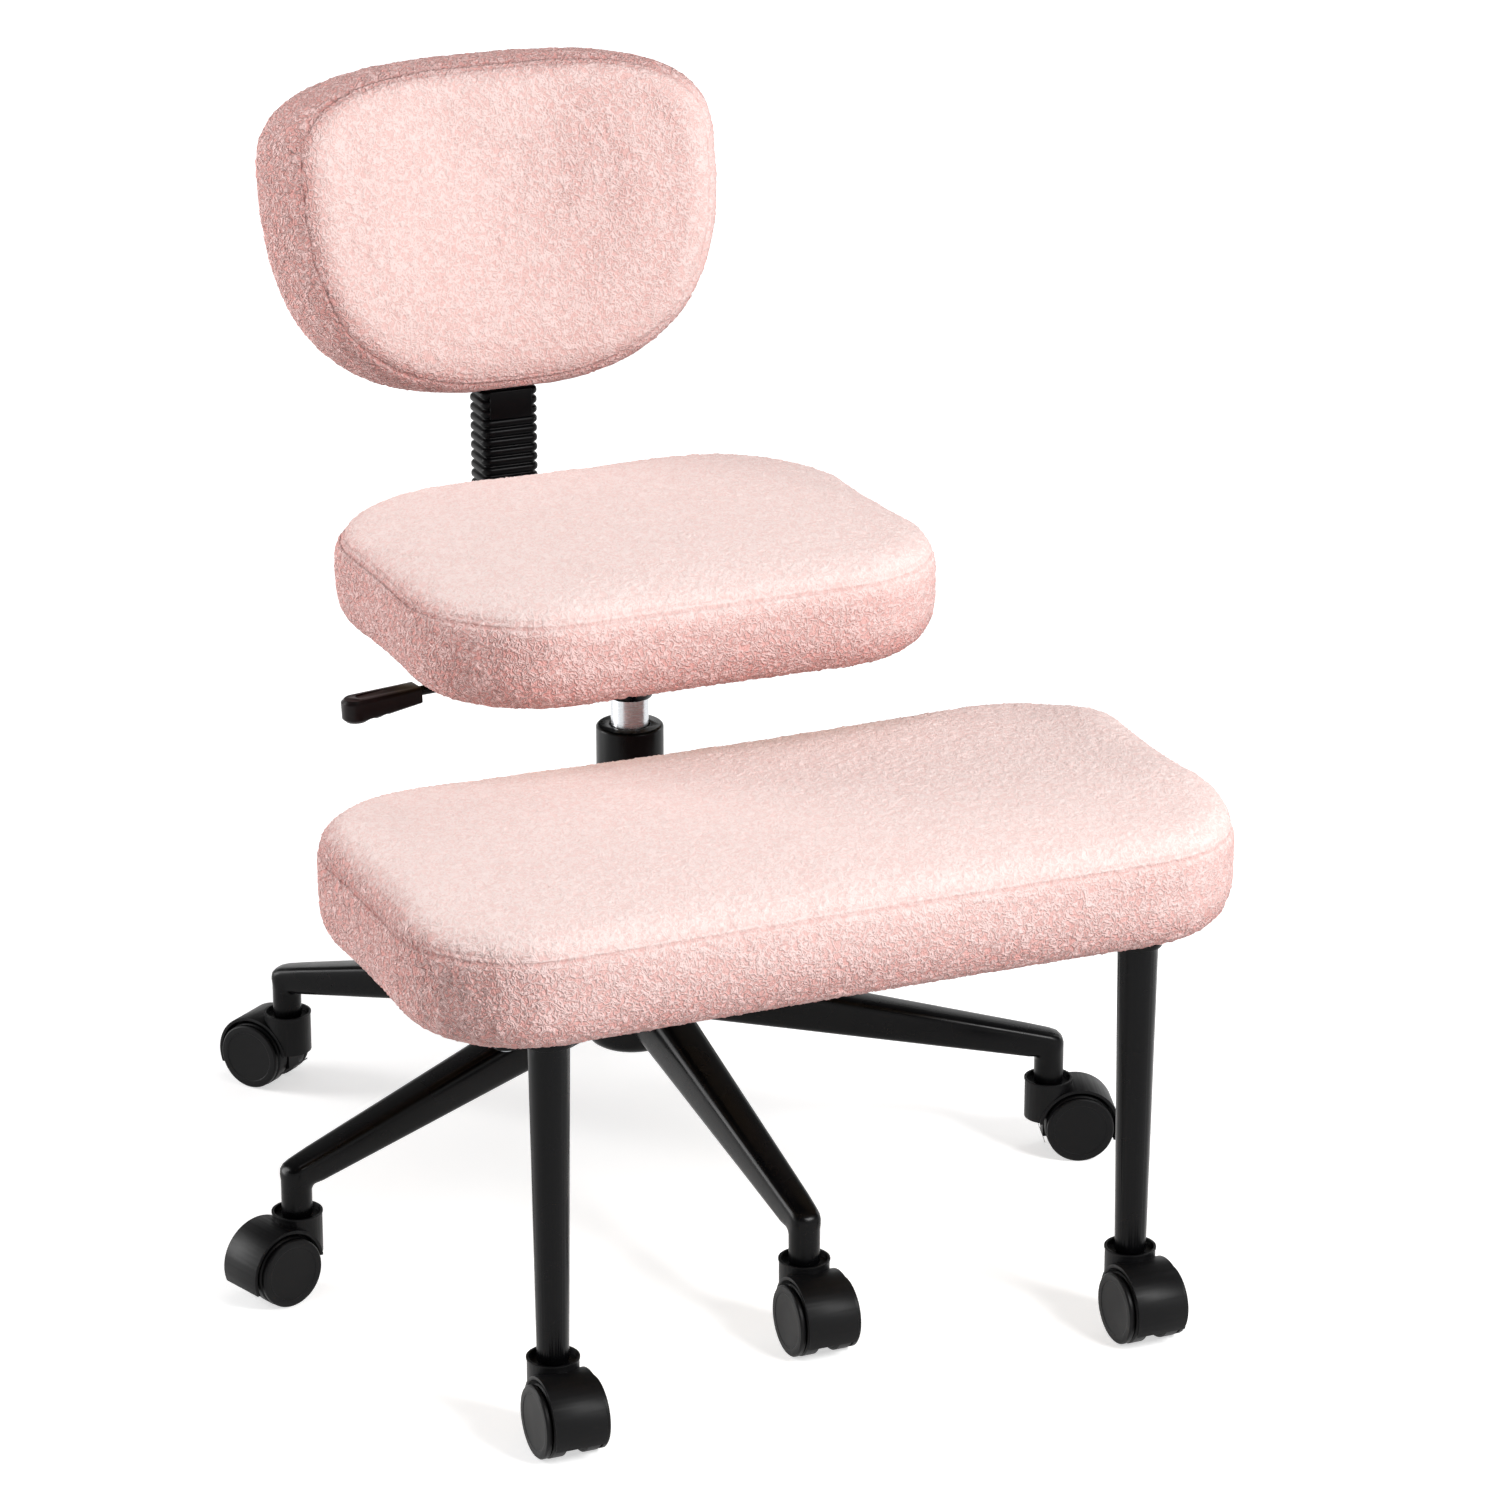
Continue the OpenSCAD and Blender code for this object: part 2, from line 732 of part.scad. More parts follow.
module seat_mechanism() {
    box_l = box_front + box_back;
    color(satin_black) difference() {
        union() {
            translate([0, plate_back, plate_z])
                linear_extrude(sheet_t) round_rect(plate_w, plate_d, plate_corner_r);
            for (x = [-box_outer_w / 2, box_outer_w / 2 - sheet_t])
                translate([x, -box_front, box_z]) cube([sheet_t, box_l, plate_z - box_z + weld]);
            translate([-box_outer_w / 2, -box_front, box_z]) cube([box_outer_w, box_l, sheet_t]);
            translate([-box_outer_w / 2 + weld, keeper_front, keeper_z])
                cube([box_outer_w - 2 * weld, box_back - keeper_front, sheet_t]);
            translate([0, 0, mech_z]) {
                cylinder(r1 = lift_r + socket_lip, r2 = socket_r, h = socket_taper_h);
                translate([0, 0, socket_taper_h]) cylinder(r = socket_r, h = socket_h - socket_taper_h);
            }
            for (sy = [-1, 1])
                translate([pivot_x - ear_past, sy * (ear_gap + ear_t) / 2 - ear_t / 2, plate_z - ear_drop])
                    cube([-pivot_x + ear_past - box_outer_w / 2 + weld, ear_t, ear_drop + weld]);
        }
        translate([0, 0, mech_z - overrun]) cylinder(r = lift_r + push_gap, h = socket_h + 2 * overrun);
        translate([pivot_x, 0, pivot_z]) rotate([90, 0, 0])
            cylinder(r = pin_r + push_gap, h = ear_gap + 2 * ear_t + 2 * overrun, center = true);
        translate([-box_outer_w / 2 - overrun, -window_w / 2, pivot_z - window_h / 2])
            cube([sheet_t + 2 * overrun, window_w, window_h]);
        for (p = bolt_places)
            translate([p[0], p[1], plate_z - overrun])
                cylinder(r = bolt_r + slide_gap, h = sheet_t + 2 * overrun);
        translate([0, clamp_back, box_z - overrun])
            cylinder(r = clamp_r + slide_gap, h = keeper_z + sheet_t - box_z + 2 * overrun);
    }
}

module lever_pin() {
    l = ear_gap + 2 * ear_t + 2 * overrun;
    color(zinc_steel) translate([pivot_x, 0, pivot_z]) rotate([90, 0, 0]) {
        cylinder(r = pin_r, h = l, center = true);
        translate([0, 0, l / 2 - overrun + run_gap]) cylinder(r = pin_r * pin_head_share, h = pin_head_h);
    }
}

module lever_rod() {
    color(satin_black) difference() {
        union() {
            translate([pivot_x, 0, pivot_z]) rotate([90, 0, 0])
                cylinder(r = boss_lever_r, h = ear_gap - 2 * slide_gap, center = true);
            translate([pivot_x, -finger_w / 2, finger_z])
                cube([finger_reach - pivot_x, finger_w, finger_h]);
            at_lever_pivot() rotate([0, -90, 0])
                cylinder(d = lever_rod_d, h = rod_reach + rod_in_handle);
        }
        translate([pivot_x, 0, pivot_z]) rotate([90, 0, 0])
            cylinder(r = pin_r + run_gap, h = ear_gap + 2 * overrun, center = true);
    }
}

// Moves a shape drawn from the lever's pivot, along -X, on to the line of the rod
module at_lever_pivot() {
    translate([pivot_x, 0, pivot_z]) rotate([0, -rod_droop, rod_sweep]) children();
}

// Moves a shape drawn from the handle's root, along -X, to its place
module at_handle() {
    at_lever_pivot() translate([-rod_reach, 0, 0]) rotate([0, -handle_droop, handle_sweep]) children();
}

module lever_handle() {
    tip_r = handle_w / 2;
    run = handle_l - tip_r;
    mid_z = -handle_drop;
    root_w = handle_w * handle_root_w_share;
    root_up = handle_root_h / 2 - handle_bevel;
    strip_w = handle_w * strip_w_share;
    color(lever_black) difference() {
        at_handle() hull() {
            for (sy = [-1, 1], sz = [-1, 1])
                translate([0, sy * (root_w / 2 - handle_bevel), mid_z / 2 + sz * root_up])
                    rotate([0, -90, 0]) cylinder(r = handle_bevel, h = handle_root_t, $fn = 24);
            translate([-run, 0, mid_z - handle_tip_h / 2 + handle_bevel])
                cylinder(r = tip_r, h = handle_tip_h - 2 * handle_bevel, $fn = 40);
            translate([-run, 0, mid_z - handle_tip_h / 2])
                cylinder(r = tip_r - handle_bevel, h = handle_tip_h, $fn = 40);
        }
        // Bore for the rod
        at_lever_pivot() rotate([0, -90, 0])
            cylinder(d = lever_rod_d + 2 * push_gap, h = rod_reach + rod_in_handle + slide_gap);
        // Sunk strip on top
        at_handle()
            translate([-run * strip_place_share, 0, mid_z + handle_tip_h / 2 - strip_depth])
                linear_extrude(handle_tip_h)
                    round_rect(handle_l * strip_l_share, strip_w, strip_w * strip_r_share);
        // Finger grooves below
        for (s = grip_shares)
            at_handle()
                translate([-handle_l * s, 0, mid_z - handle_tip_h / 2 - grip_r + grip_depth])
                    rotate([90, 0, 0]) cylinder(r = grip_r, h = handle_w + 2 * overrun, center = true);
    }
}

module clamp_bolt() {
    top = keeper_z + sheet_t;
    color(zinc_steel) {
        translate([0, clamp_back, top]) cylinder(r = clamp_head_r, h = clamp_head_h);
        translate([0, clamp_back, top - sheet_t - clamp_l])
            cylinder(r = clamp_r, h = clamp_l + sheet_t + weld);
    }
}

module clamp_knob() {
    top = box_z - slide_gap;
    color(nylon_black) translate([0, clamp_back, top - knob_h]) difference() {
        union() {
            cylinder(r = knob_r - knob_bevel, h = knob_h);
            translate([0, 0, knob_bevel]) cylinder(r = knob_r, h = knob_h - 3 * knob_bevel);
        }
        for (k = [0 : knob_lobes - 1]) rotate(360 * k / knob_lobes)
            translate([knob_r + knob_scallop_r - knob_scallop_depth, 0, -overrun])
                cylinder(r = knob_scallop_r, h = knob_h - knob_bevel + overrun);
        translate([0, 0, knob_bevel]) cylinder(r = clamp_r + run_gap, h = knob_h);
    }
}

module seat_board() {
    color(birch) difference() {
        translate([0, -seat_forward, seat_z]) board([seat_w, seat_d], seat_corner_r, seat_foot_r);
        for (p = bolt_places)
            translate([p[0], p[1], seat_z - overrun])
                cylinder(r = bolt_r + push_gap, h = bolt_grip + overrun + slide_gap);
    }
}

module seat_bolts() {
    color(zinc_steel) for (p = bolt_places) translate([p[0], p[1], plate_z]) {
        translate([0, 0, -bolt_head_h]) cylinder(r = bolt_head_r, h = bolt_head_h);
        cylinder(r = bolt_r, h = sheet_t + bolt_grip);
    }
}

module seat_cushion() {
    color(fleece_pink) translate([0, -seat_forward, seat_z + slide_gap])
        cushion([seat_w, seat_d], seat_h - slide_gap, seat_corner_r, seat_edge_r, seat_foot_r, seat_crown,
            seat_seam_drop);
}

module back_bar() {
    slot_front = clamp_back - back_out;
    slot_back = clamp_back + back_in;
    color(satin_black) difference() {
        union() {
            translate([-bar_w / 2, bar_front, bar_z]) cube([bar_w, bend_y - bar_front, bar_t]);
            translate([-bar_w / 2, bar_upright_y, bend_z]) cube([bar_w, bar_t, bar_top_z - bend_z]);
            across(bar_w) translate([bend_y, bend_z]) intersection() {
                difference() {
                    circle(bar_bend_r);
                    circle(bar_bend_r - bar_t);
                }
                translate([0, -bar_bend_r]) square(bar_bend_r);
            }
        }
        // Slot for the clamp bolt
        translate([0, 0, bar_z - overrun]) linear_extrude(bar_t + 2 * overrun) {
            for (y = [slot_front, slot_back]) translate([0, y]) circle(slot_r);
            translate([-slot_r, slot_front]) square([2 * slot_r, slot_back - slot_front]);
        }
        // Notches for the ratchet
        for (k = [0 : notch_count - 1], sx = [-1, 1])
            translate([sx * bar_w / 2, bar_behind, bar_top_z - notch_from_top - k * notch_pitch])
                cube([2 * notch_depth, bar_t + 2 * overrun, notch_h], center = true);
    }
}

module bellows() {
    mid_z = bellows_bottom_z + cuff_h;
    in_w = bellows_w - 2 * rib_depth;
    in_d = bellows_d - 2 * rib_depth;
    bore_r = bellows_corner_r - rib_depth - bellows_wall;
    color(nylon_black) translate([0, bar_behind, 0]) difference() {
        union() {
            translate([0, 0, bellows_bottom_z]) linear_extrude(bellows_top_z - bellows_bottom_z)
                round_rect(in_w, in_d, bellows_corner_r - rib_depth);
            for (k = [0 : rib_count - 1])
                translate([0, 0, mid_z + (k + (1 - rib_share) / 2) * rib_step]) {
                    linear_extrude(rib_step * rib_share) round_rect(bellows_w, bellows_d, bellows_corner_r);
                }
            translate([-front_panel_w / 2, -bellows_d / 2, bellows_top_z - front_panel_drop - front_panel_h])
                cube([front_panel_w, rib_depth + weld, front_panel_h]);
        }
        translate([0, 0, mid_z]) linear_extrude(bellows_top_z - mid_z + overrun)
            round_rect(in_w - 2 * bellows_wall, in_d - 2 * bellows_wall, bore_r);
        translate([0, 0, bellows_bottom_z - overrun]) linear_extrude(cuff_h + 2 * overrun)
            square([bar_w + 2 * slide_gap, bar_t + 2 * slide_gap], center = true);
    }
}

module back_housing() {
    color(nylon_black) difference() {
        across(housing_w) housing_side(0);
        translate([-bar_w / 2 - slide_gap, bar_upright_y - slide_gap, housing_bottom_z - overrun])
            cube([bar_w + 2 * slide_gap, bar_t + 2 * slide_gap, housing_h + 2 * overrun]);
        back_screw_places() translate([0, screw_l / 2, 0]) rotate([90, 0, 0])
            cylinder(r = screw_r + push_gap, h = 2 * screw_l);
    }
}

// Places of the four backrest screws, each drawn along Y from the panel's front face
module back_screw_places() {
    at_back() for (w = screw_rows, sx = [-1, 1]) translate([sx * screw_x, panel_offset, w]) children();
}

module back_panel() {
    color(nylon_black) difference() {
        panel_shape(0);
        back_screw_places() translate([0, panel_t + overrun, 0]) rotate([90, 0, 0])
            cylinder(r = screw_r + push_gap, h = panel_t + 2 * overrun);
        back_screw_places() translate([0, panel_t + overrun, 0]) rotate([90, 0, 0])
            cylinder(r = screw_head_r + push_gap, h = screw_head_h + overrun);
    }
}

module back_screws() {
    color(zinc_steel) back_screw_places() {
        translate([0, panel_t, 0]) rotate([90, 0, 0]) cylinder(r = screw_head_r, h = screw_head_h);
        translate([0, panel_t, 0]) rotate([90, 0, 0]) cylinder(r = screw_r, h = panel_t + screw_l);
    }
}

module back_cushion() {
    rows = back_rows();
    color(fleece_pink) difference() {
        at_back() polyhedron(points = [for (row = rows) each row], faces = skin(back_points, len(rows)),
            convexity = 4);
        across(housing_w + 2 * slide_gap) housing_side(slide_gap);
        translate([0, bar_behind, housing_top_z]) linear_extrude(pocket_top_z - housing_top_z)
            square([bar_w + 2 * mouth_gap, bar_t + 2 * mouth_gap], center = true);
        panel_shape(slide_gap);
        translate([0, bar_behind, housing_bottom_z - back_t]) linear_extrude(back_t)
            round_rect(bellows_w + 2 * mouth_gap, bellows_d + 2 * mouth_gap, bellows_corner_r);
    }
}

module bench_frame() {
    color(satin_black) difference() {
        union() {
            translate([0, 0, sleeve_z]) cylinder(r = sleeve_r, h = arm_top_z - sleeve_z);
            translate([-arm_w / 2, -arm_l - tube_r, arm_top_z - arm_h]) cube([arm_w, arm_l + tube_r, arm_h]);
            translate([0, -bench_plate_forward, arm_top_z])
                linear_extrude(frame_sheet) round_rect(bench_plate_w, bench_plate_d, bench_plate_r);
            across(gusset_t) polygon([
                [-sleeve_r + weld, arm_top_z - arm_h + weld],
                [-sleeve_r + weld, arm_top_z - arm_h - gusset_h],
                [-sleeve_r - gusset_l, arm_top_z - arm_h + weld]
            ]);
        }
        // Hollow of the arm, open at its front
        translate([-arm_w / 2 + arm_wall, -arm_l - tube_r - overrun, arm_top_z - arm_h + arm_wall])
            cube([arm_w - 2 * arm_wall, arm_l + tube_r - sleeve_r - arm_wall, arm_h - 2 * arm_wall]);
        translate([0, 0, sleeve_z - overrun])
            cylinder(r = tube_r + bush_wall + push_gap, h = arm_top_z - sleeve_z + 2 * overrun);
        bench_screw_holes();
    }
}

// Clearance holes for the bench's screws, through its steel plates
module bench_screw_holes() {
    for (p = bench_screw_places)
        translate([p[0], p[1], arm_top_z - overrun])
            cylinder(r = wood_screw_r + slide_gap, h = frame_sheet + 2 * overrun);
}

module bench_bush() {
    z = hub_top_z + slide_gap;
    color(natural_acetal) {
        ring(tube_r + bush_wall, tube_r + run_gap, z, arm_top_z);
        ring(flange_r, tube_r + run_gap, z, z + flange_h);
    }
}

// Tapered steel leg of the bench with its screw plate, on one side
module bench_leg(side) {
    color(satin_black) difference() {
        translate([side * leg_x, -leg_forward, 0]) {
            rotate_extrude() polygon([
                [stem_top_r + push_gap, post_z],
                [post_d / 2, post_z],
                [leg_top_d / 2, arm_top_z + weld],
                [0, arm_top_z + weld],
                [0, post_z + stem_top_l + slide_gap],
                [stem_top_r + push_gap, post_z + stem_top_l + slide_gap]
            ]);
            translate([0, 0, arm_top_z]) cylinder(r = leg_pad_r, h = frame_sheet);
            translate([0, leg_plate_back, arm_top_z])
                linear_extrude(frame_sheet) round_rect(leg_plate_w, leg_plate_d, leg_plate_r);
        }
        bench_screw_holes();
    }
}

module bench_board() {
    color(birch) difference() {
        translate([0, -bench_reach, bench_z]) board([bench_w, bench_d], bench_corner_r, bench_foot_r);
        for (p = bench_screw_places)
            translate([p[0], p[1], bench_z - overrun])
                cylinder(r = wood_screw_r + push_gap, h = wood_screw_l + overrun + slide_gap);
    }
}

module bench_screws() {
    color(zinc_steel) for (p = bench_screw_places) translate([p[0], p[1], arm_top_z]) {
        translate([0, 0, -wood_screw_head_h]) cylinder(r = wood_screw_head_r, h = wood_screw_head_h);
        cylinder(r = wood_screw_r, h = frame_sheet + wood_screw_l);
    }
}

module bench_cushion() {
    color(fleece_pink) translate([0, -bench_reach, bench_z + slide_gap])
        cushion([bench_w, bench_d], bench_h - slide_gap, bench_corner_r, bench_edge_r, bench_foot_r,
            bench_crown, bench_seam_drop);
}

// Swivel stem of a caster: its upper end is pressed into the leg and its lower end turns in the hood
module caster_stem() {
    shoulder_z = post_z - stem_shoulder_h;
    translate([0, 0, stem_end_z + slide_gap]) cylinder(r = stem_r, h = post_z - stem_end_z - slide_gap);
    translate([0, 0, shoulder_z]) cylinder(r = stem_shoulder_r, h = stem_shoulder_h);
    translate([0, 0, post_z - run_gap]) cylinder(r = stem_top_r, h = stem_top_l + run_gap);
}

module base_caster_stems() {
    color(zinc_steel) for (a = base_angles) rotate(a) translate([0, -arm_reach, 0]) caster_stem();
}

module bench_caster_stems() {
    color(zinc_steel) for (side = [-1, 1]) translate([side * leg_x, -leg_forward, 0]) caster_stem();
}

// Moves a caster, drawn with its stem at the origin and its wheels behind towards -Y, to its place
module at_caster(place) {
    translate([place[0], place[1], 0]) rotate(place[2]) children();
}

function base_place(k) = [arm_reach * sin(base_angles[k]), -arm_reach * cos(base_angles[k]), base_angles[k]];
function bench_place(side) = [side * leg_x, -leg_forward, 0];

// Cylinder along the axle, from x0 to x1
module along_axle(r, x0, x1) {
    translate([x0, -caster_trail, axle_z]) rotate([0, 90, 0]) cylinder(r = r, h = x1 - x0);
}

module caster_hood(place) {
    floor_z = collar_z - well_depth;
    color(nylon_black) at_caster(place) difference() {
        union() {
            along_axle(hood_r, -hood_w / 2, hood_w / 2);
            translate([0, 0, boss_bottom_z]) cylinder(r = boss_r - bead_out, h = collar_z - boss_bottom_z);
            translate([0, 0, collar_z - bead_h]) cylinder(r = boss_r, h = bead_h);
        }
        // Wells for the two wheels
        along_axle(well_r, web_w / 2, hood_w / 2 + overrun);
        along_axle(well_r, -hood_w / 2 - overrun, -web_w / 2);
        // Open below the lower edge, and up to the boss on the leading side
        translate([-hood_w, -caster_trail - 2 * hood_r, -hood_r])
            cube([2 * hood_w, 4 * hood_r, hood_r + hood_edge_z]);
        translate([-hood_w, boss_r * (1 - nose_share), 0]) cube([2 * hood_w, hood_r, boss_bottom_z]);
        // Dark well round the post, the bore for the stem and the bore for the axle
        translate([0, 0, floor_z]) cylinder(r = boss_r - well_rim, h = well_depth + overrun);
        translate([0, 0, stem_end_z]) cylinder(r = stem_r + run_gap, h = collar_z - stem_end_z);
        along_axle(axle_r + push_gap, -web_w, web_w);
    }
}

module caster_axle(place) {
    color(zinc_steel) at_caster(place) along_axle(axle_r, -axle_end, axle_end);
}

// One wheel, on the side of the hood given by 1 or -1
module caster_wheel(place, side) {
    tread_out = wheel_out - disc_w - groove_w;
    disc_r = wheel_r - disc_drop;
    bore_end = axle_end + slide_gap;
    dish_r = disc_r * dish_r_share;
    color(nylon_black) at_caster(place) translate([0, -caster_trail, axle_z]) rotate([0, side * 90, 0])
        rotate_extrude() polygon([
            [axle_r + run_gap, wheel_in],
            [axle_r + hub_wall, wheel_in],
            [axle_r + hub_wall, wheel_in + spoke_depth],
            [wheel_r - wheel_web_t, wheel_in + spoke_depth],
            [wheel_r - wheel_web_t, wheel_in],
            [wheel_r - tread_bevel, wheel_in],
            [wheel_r, wheel_in + tread_bevel],
            [wheel_r, tread_out - tread_bevel],
            [wheel_r - tread_bevel, tread_out],
            [disc_r - groove_depth, tread_out],
            [disc_r - groove_depth, tread_out + groove_w],
            [disc_r, tread_out + groove_w],
            [disc_r, wheel_out - disc_bevel],
            [disc_r - disc_bevel, wheel_out],
            [dish_r, wheel_out],
            [dish_r - dish_depth, wheel_out - dish_depth],
            [0, wheel_out - dish_depth],
            [0, bore_end],
            [axle_r + run_gap, bore_end]
        ]);
}

star_base();
outer_tube();
guide_bush();
thrust_bearing();
base_caster_stems();
piston_rod();
retaining_clip();
pressure_tube();
seat_mechanism();
lever_pin();
clamp_bolt();
seat_board();
seat_bolts();
seat_cushion();
lever_rod();
lever_handle();
valve_button();
clamp_knob();
back_bar();
bellows();
back_housing();
back_panel();
back_screws();
back_cushion();
bench_frame();
bench_bush();
bench_leg(-1);  // bench_leg_right
bench_leg(1);  // bench_leg_left
bench_board();
bench_screws();
bench_cushion();
bench_caster_stems();
caster_hood(base_place(0));  // front_hood
caster_axle(base_place(0));  // front_axle
caster_wheel(base_place(0), -1);  // front_wheel_a
caster_wheel(base_place(0), 1);  // front_wheel_b
caster_hood(base_place(1));  // left_hood
caster_axle(base_place(1));  // left_axle
caster_wheel(base_place(1), -1);  // left_wheel_a
caster_wheel(base_place(1), 1);  // left_wheel_b
caster_hood(base_place(2));  // rear_left_hood
caster_axle(base_place(2));  // rear_left_axle
caster_wheel(base_place(2), -1);  // rear_left_wheel_a
caster_wheel(base_place(2), 1);  // rear_left_wheel_b
caster_hood(base_place(3));  // rear_right_hood
caster_axle(base_place(3));  // rear_right_axle
caster_wheel(base_place(3), -1);  // rear_right_wheel_a
caster_wheel(base_place(3), 1);  // rear_right_wheel_b
caster_hood(base_place(4));  // right_hood
caster_axle(base_place(4));  // right_axle
caster_wheel(base_place(4), -1);  // right_wheel_a
caster_wheel(base_place(4), 1);  // right_wheel_b
caster_hood(bench_place(-1));  // bench_right_hood
caster_axle(bench_place(-1));  // bench_right_axle
caster_wheel(bench_place(-1), -1);  // bench_right_wheel_a
caster_wheel(bench_place(-1), 1);  // bench_right_wheel_b
caster_hood(bench_place(1));  // bench_left_hood
caster_axle(bench_place(1));  // bench_left_axle
caster_wheel(bench_place(1), -1);  // bench_left_wheel_a
caster_wheel(bench_place(1), 1);  // bench_left_wheel_b
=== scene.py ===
import bpy
import bmesh
import json
import math
from mathutils import Matrix, Vector


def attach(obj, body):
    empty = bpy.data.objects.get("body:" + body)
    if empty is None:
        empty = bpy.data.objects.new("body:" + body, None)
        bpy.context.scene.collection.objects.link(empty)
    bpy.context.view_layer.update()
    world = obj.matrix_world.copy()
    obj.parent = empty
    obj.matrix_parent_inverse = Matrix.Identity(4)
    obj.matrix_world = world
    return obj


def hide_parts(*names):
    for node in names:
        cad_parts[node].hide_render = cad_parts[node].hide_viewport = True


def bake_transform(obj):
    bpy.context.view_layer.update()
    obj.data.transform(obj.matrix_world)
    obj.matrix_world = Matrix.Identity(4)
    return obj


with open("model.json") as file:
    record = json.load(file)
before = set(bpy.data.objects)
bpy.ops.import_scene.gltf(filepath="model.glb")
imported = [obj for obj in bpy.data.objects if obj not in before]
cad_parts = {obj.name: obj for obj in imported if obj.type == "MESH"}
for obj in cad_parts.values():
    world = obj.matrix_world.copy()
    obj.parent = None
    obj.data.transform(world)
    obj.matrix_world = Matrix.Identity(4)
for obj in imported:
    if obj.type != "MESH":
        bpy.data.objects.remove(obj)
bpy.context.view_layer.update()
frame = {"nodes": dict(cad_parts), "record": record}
mm = 0.001
sameSpot = 1e-6          # metres within which two points are one
zeroEdge = 1e-7          # metres under which an edge has no length
print("frame loaded,", len(frame["nodes"]), "nodes")


# Colours and materials

def hexColor(code):
    # sRGB hex to the linear colour that the shader sockets take
    parts = [int(code[i:i + 2], 16) / 255 for i in (1, 3, 5)]
    return [p / 12.92 if p <= 0.04045 else ((p + 0.055) / 1.055) ** 2.4 for p in parts] + [1.0]


def addNode(tree, kind, settings=None, inputs=None, links=None):
    # inputs are constant socket values, links are sockets that feed a named input
    node = tree.nodes.new(kind)
    for name, value in (settings or {}).items():
        setattr(node, name, value)
    for name, value in (inputs or {}).items():
        node.inputs[name].default_value = value
    for name, source in (links or {}).items():
        tree.links.new(source, node.inputs[name])
    return node


def newMaterial(name):
    material = bpy.data.materials.new(name)
    material.use_nodes = True
    material.node_tree.nodes.clear()
    return material, material.node_tree


def objectPoint(tree, stretch=(1, 1, 1)):
    coords = addNode(tree, "ShaderNodeTexCoord")
    return addNode(tree, "ShaderNodeMapping", inputs={"Scale": stretch},
                   links={"Vector": coords.outputs["Object"]}).outputs["Vector"]


def setRamp(node, stops):
    ramp = node.color_ramp
    while len(ramp.elements) < len(stops):
        ramp.elements.new(0.5)
    for element, (place, color) in zip(ramp.elements, stops):
        element.position = place
        element.color = hexColor(color)
    return node.outputs["Color"]


def finishMaterial(tree, shader):
    addNode(tree, "ShaderNodeOutputMaterial", links={"Surface": shader.outputs[0]})


sherpaRule = {
    # sizes in mm
    "curl": 4.2,           # a curl and the dark gap beside it
    "thread": 1.3,         # across the loose ends on a curl
    "clump": 13,           # across a tuft of curls
    "pile": 2.8,           # height of the curls
    "seam": 1.7,           # half the width of the sewn line
    "topstitch": 4.2,      # from the seam to its row of topstitching
    # the curls: how far they wind, where their flank ends in the gap, what threads and tufts add to their
    # height, and how strongly they stand out
    "twist": 1.1, "flank": 0.18, "threadShare": 0.9, "clumpShare": 0.3, "relief": 0.8,
    # the heights that take the gaps' painted shade and the curls' painted highlight, and where the middle lies
    "lowest": 0.4, "highest": 1.7, "middleAt": 0.45,
    "crevice": "#e9b7b0", "middle": "#f7dfda", "tip": "#fff3f0",
    # on the faces turned to the lamps the pile counts as brushed; what each colour keeps on the faces turned
    # away is painted shade
    "closed": 0.34,        # how much of the relief and the gaps' colour shows where the pile lies brushed
    "openTintAndShade": (1.0, 0.77, 0.76),       # how much of each colour is left where the pile stands open
    # the sewn line: its painted shade in the groove, its depth in curls, how much of both the topstitching has,
    # and how much of the line's half width is flattened
    "sewn": "#cf8f88", "sewnShade": 0.2, "sewnSink": 1.2, "topstitchShare": 0.45, "sewnFlat": 0.25,
    "roughness": 0.95, "gloss": 0.1, "sheen": 0.2, "sheenRoughness": 0.45, "sheenColor": "#ffe9e5",
}


def nearLine(tree, distance, place, halfWidth):
    # 1 on the line where the distance has this value, and 0 further from it than the half width
    off = addNode(tree, "ShaderNodeMath", {"operation": "SUBTRACT"}, {1: place}, {0: distance})
    away = addNode(tree, "ShaderNodeMath", {"operation": "ABSOLUTE"}, links={0: off.outputs[0]})
    return addNode(tree, "ShaderNodeMapRange", {"interpolation_type": "SMOOTHSTEP"}, {
        "From Min": sherpaRule["sewnFlat"] * halfWidth, "From Max": halfWidth, "To Min": 1.0, "To Max": 0.0},
        {"Value": away.outputs[0]}).outputs[0]


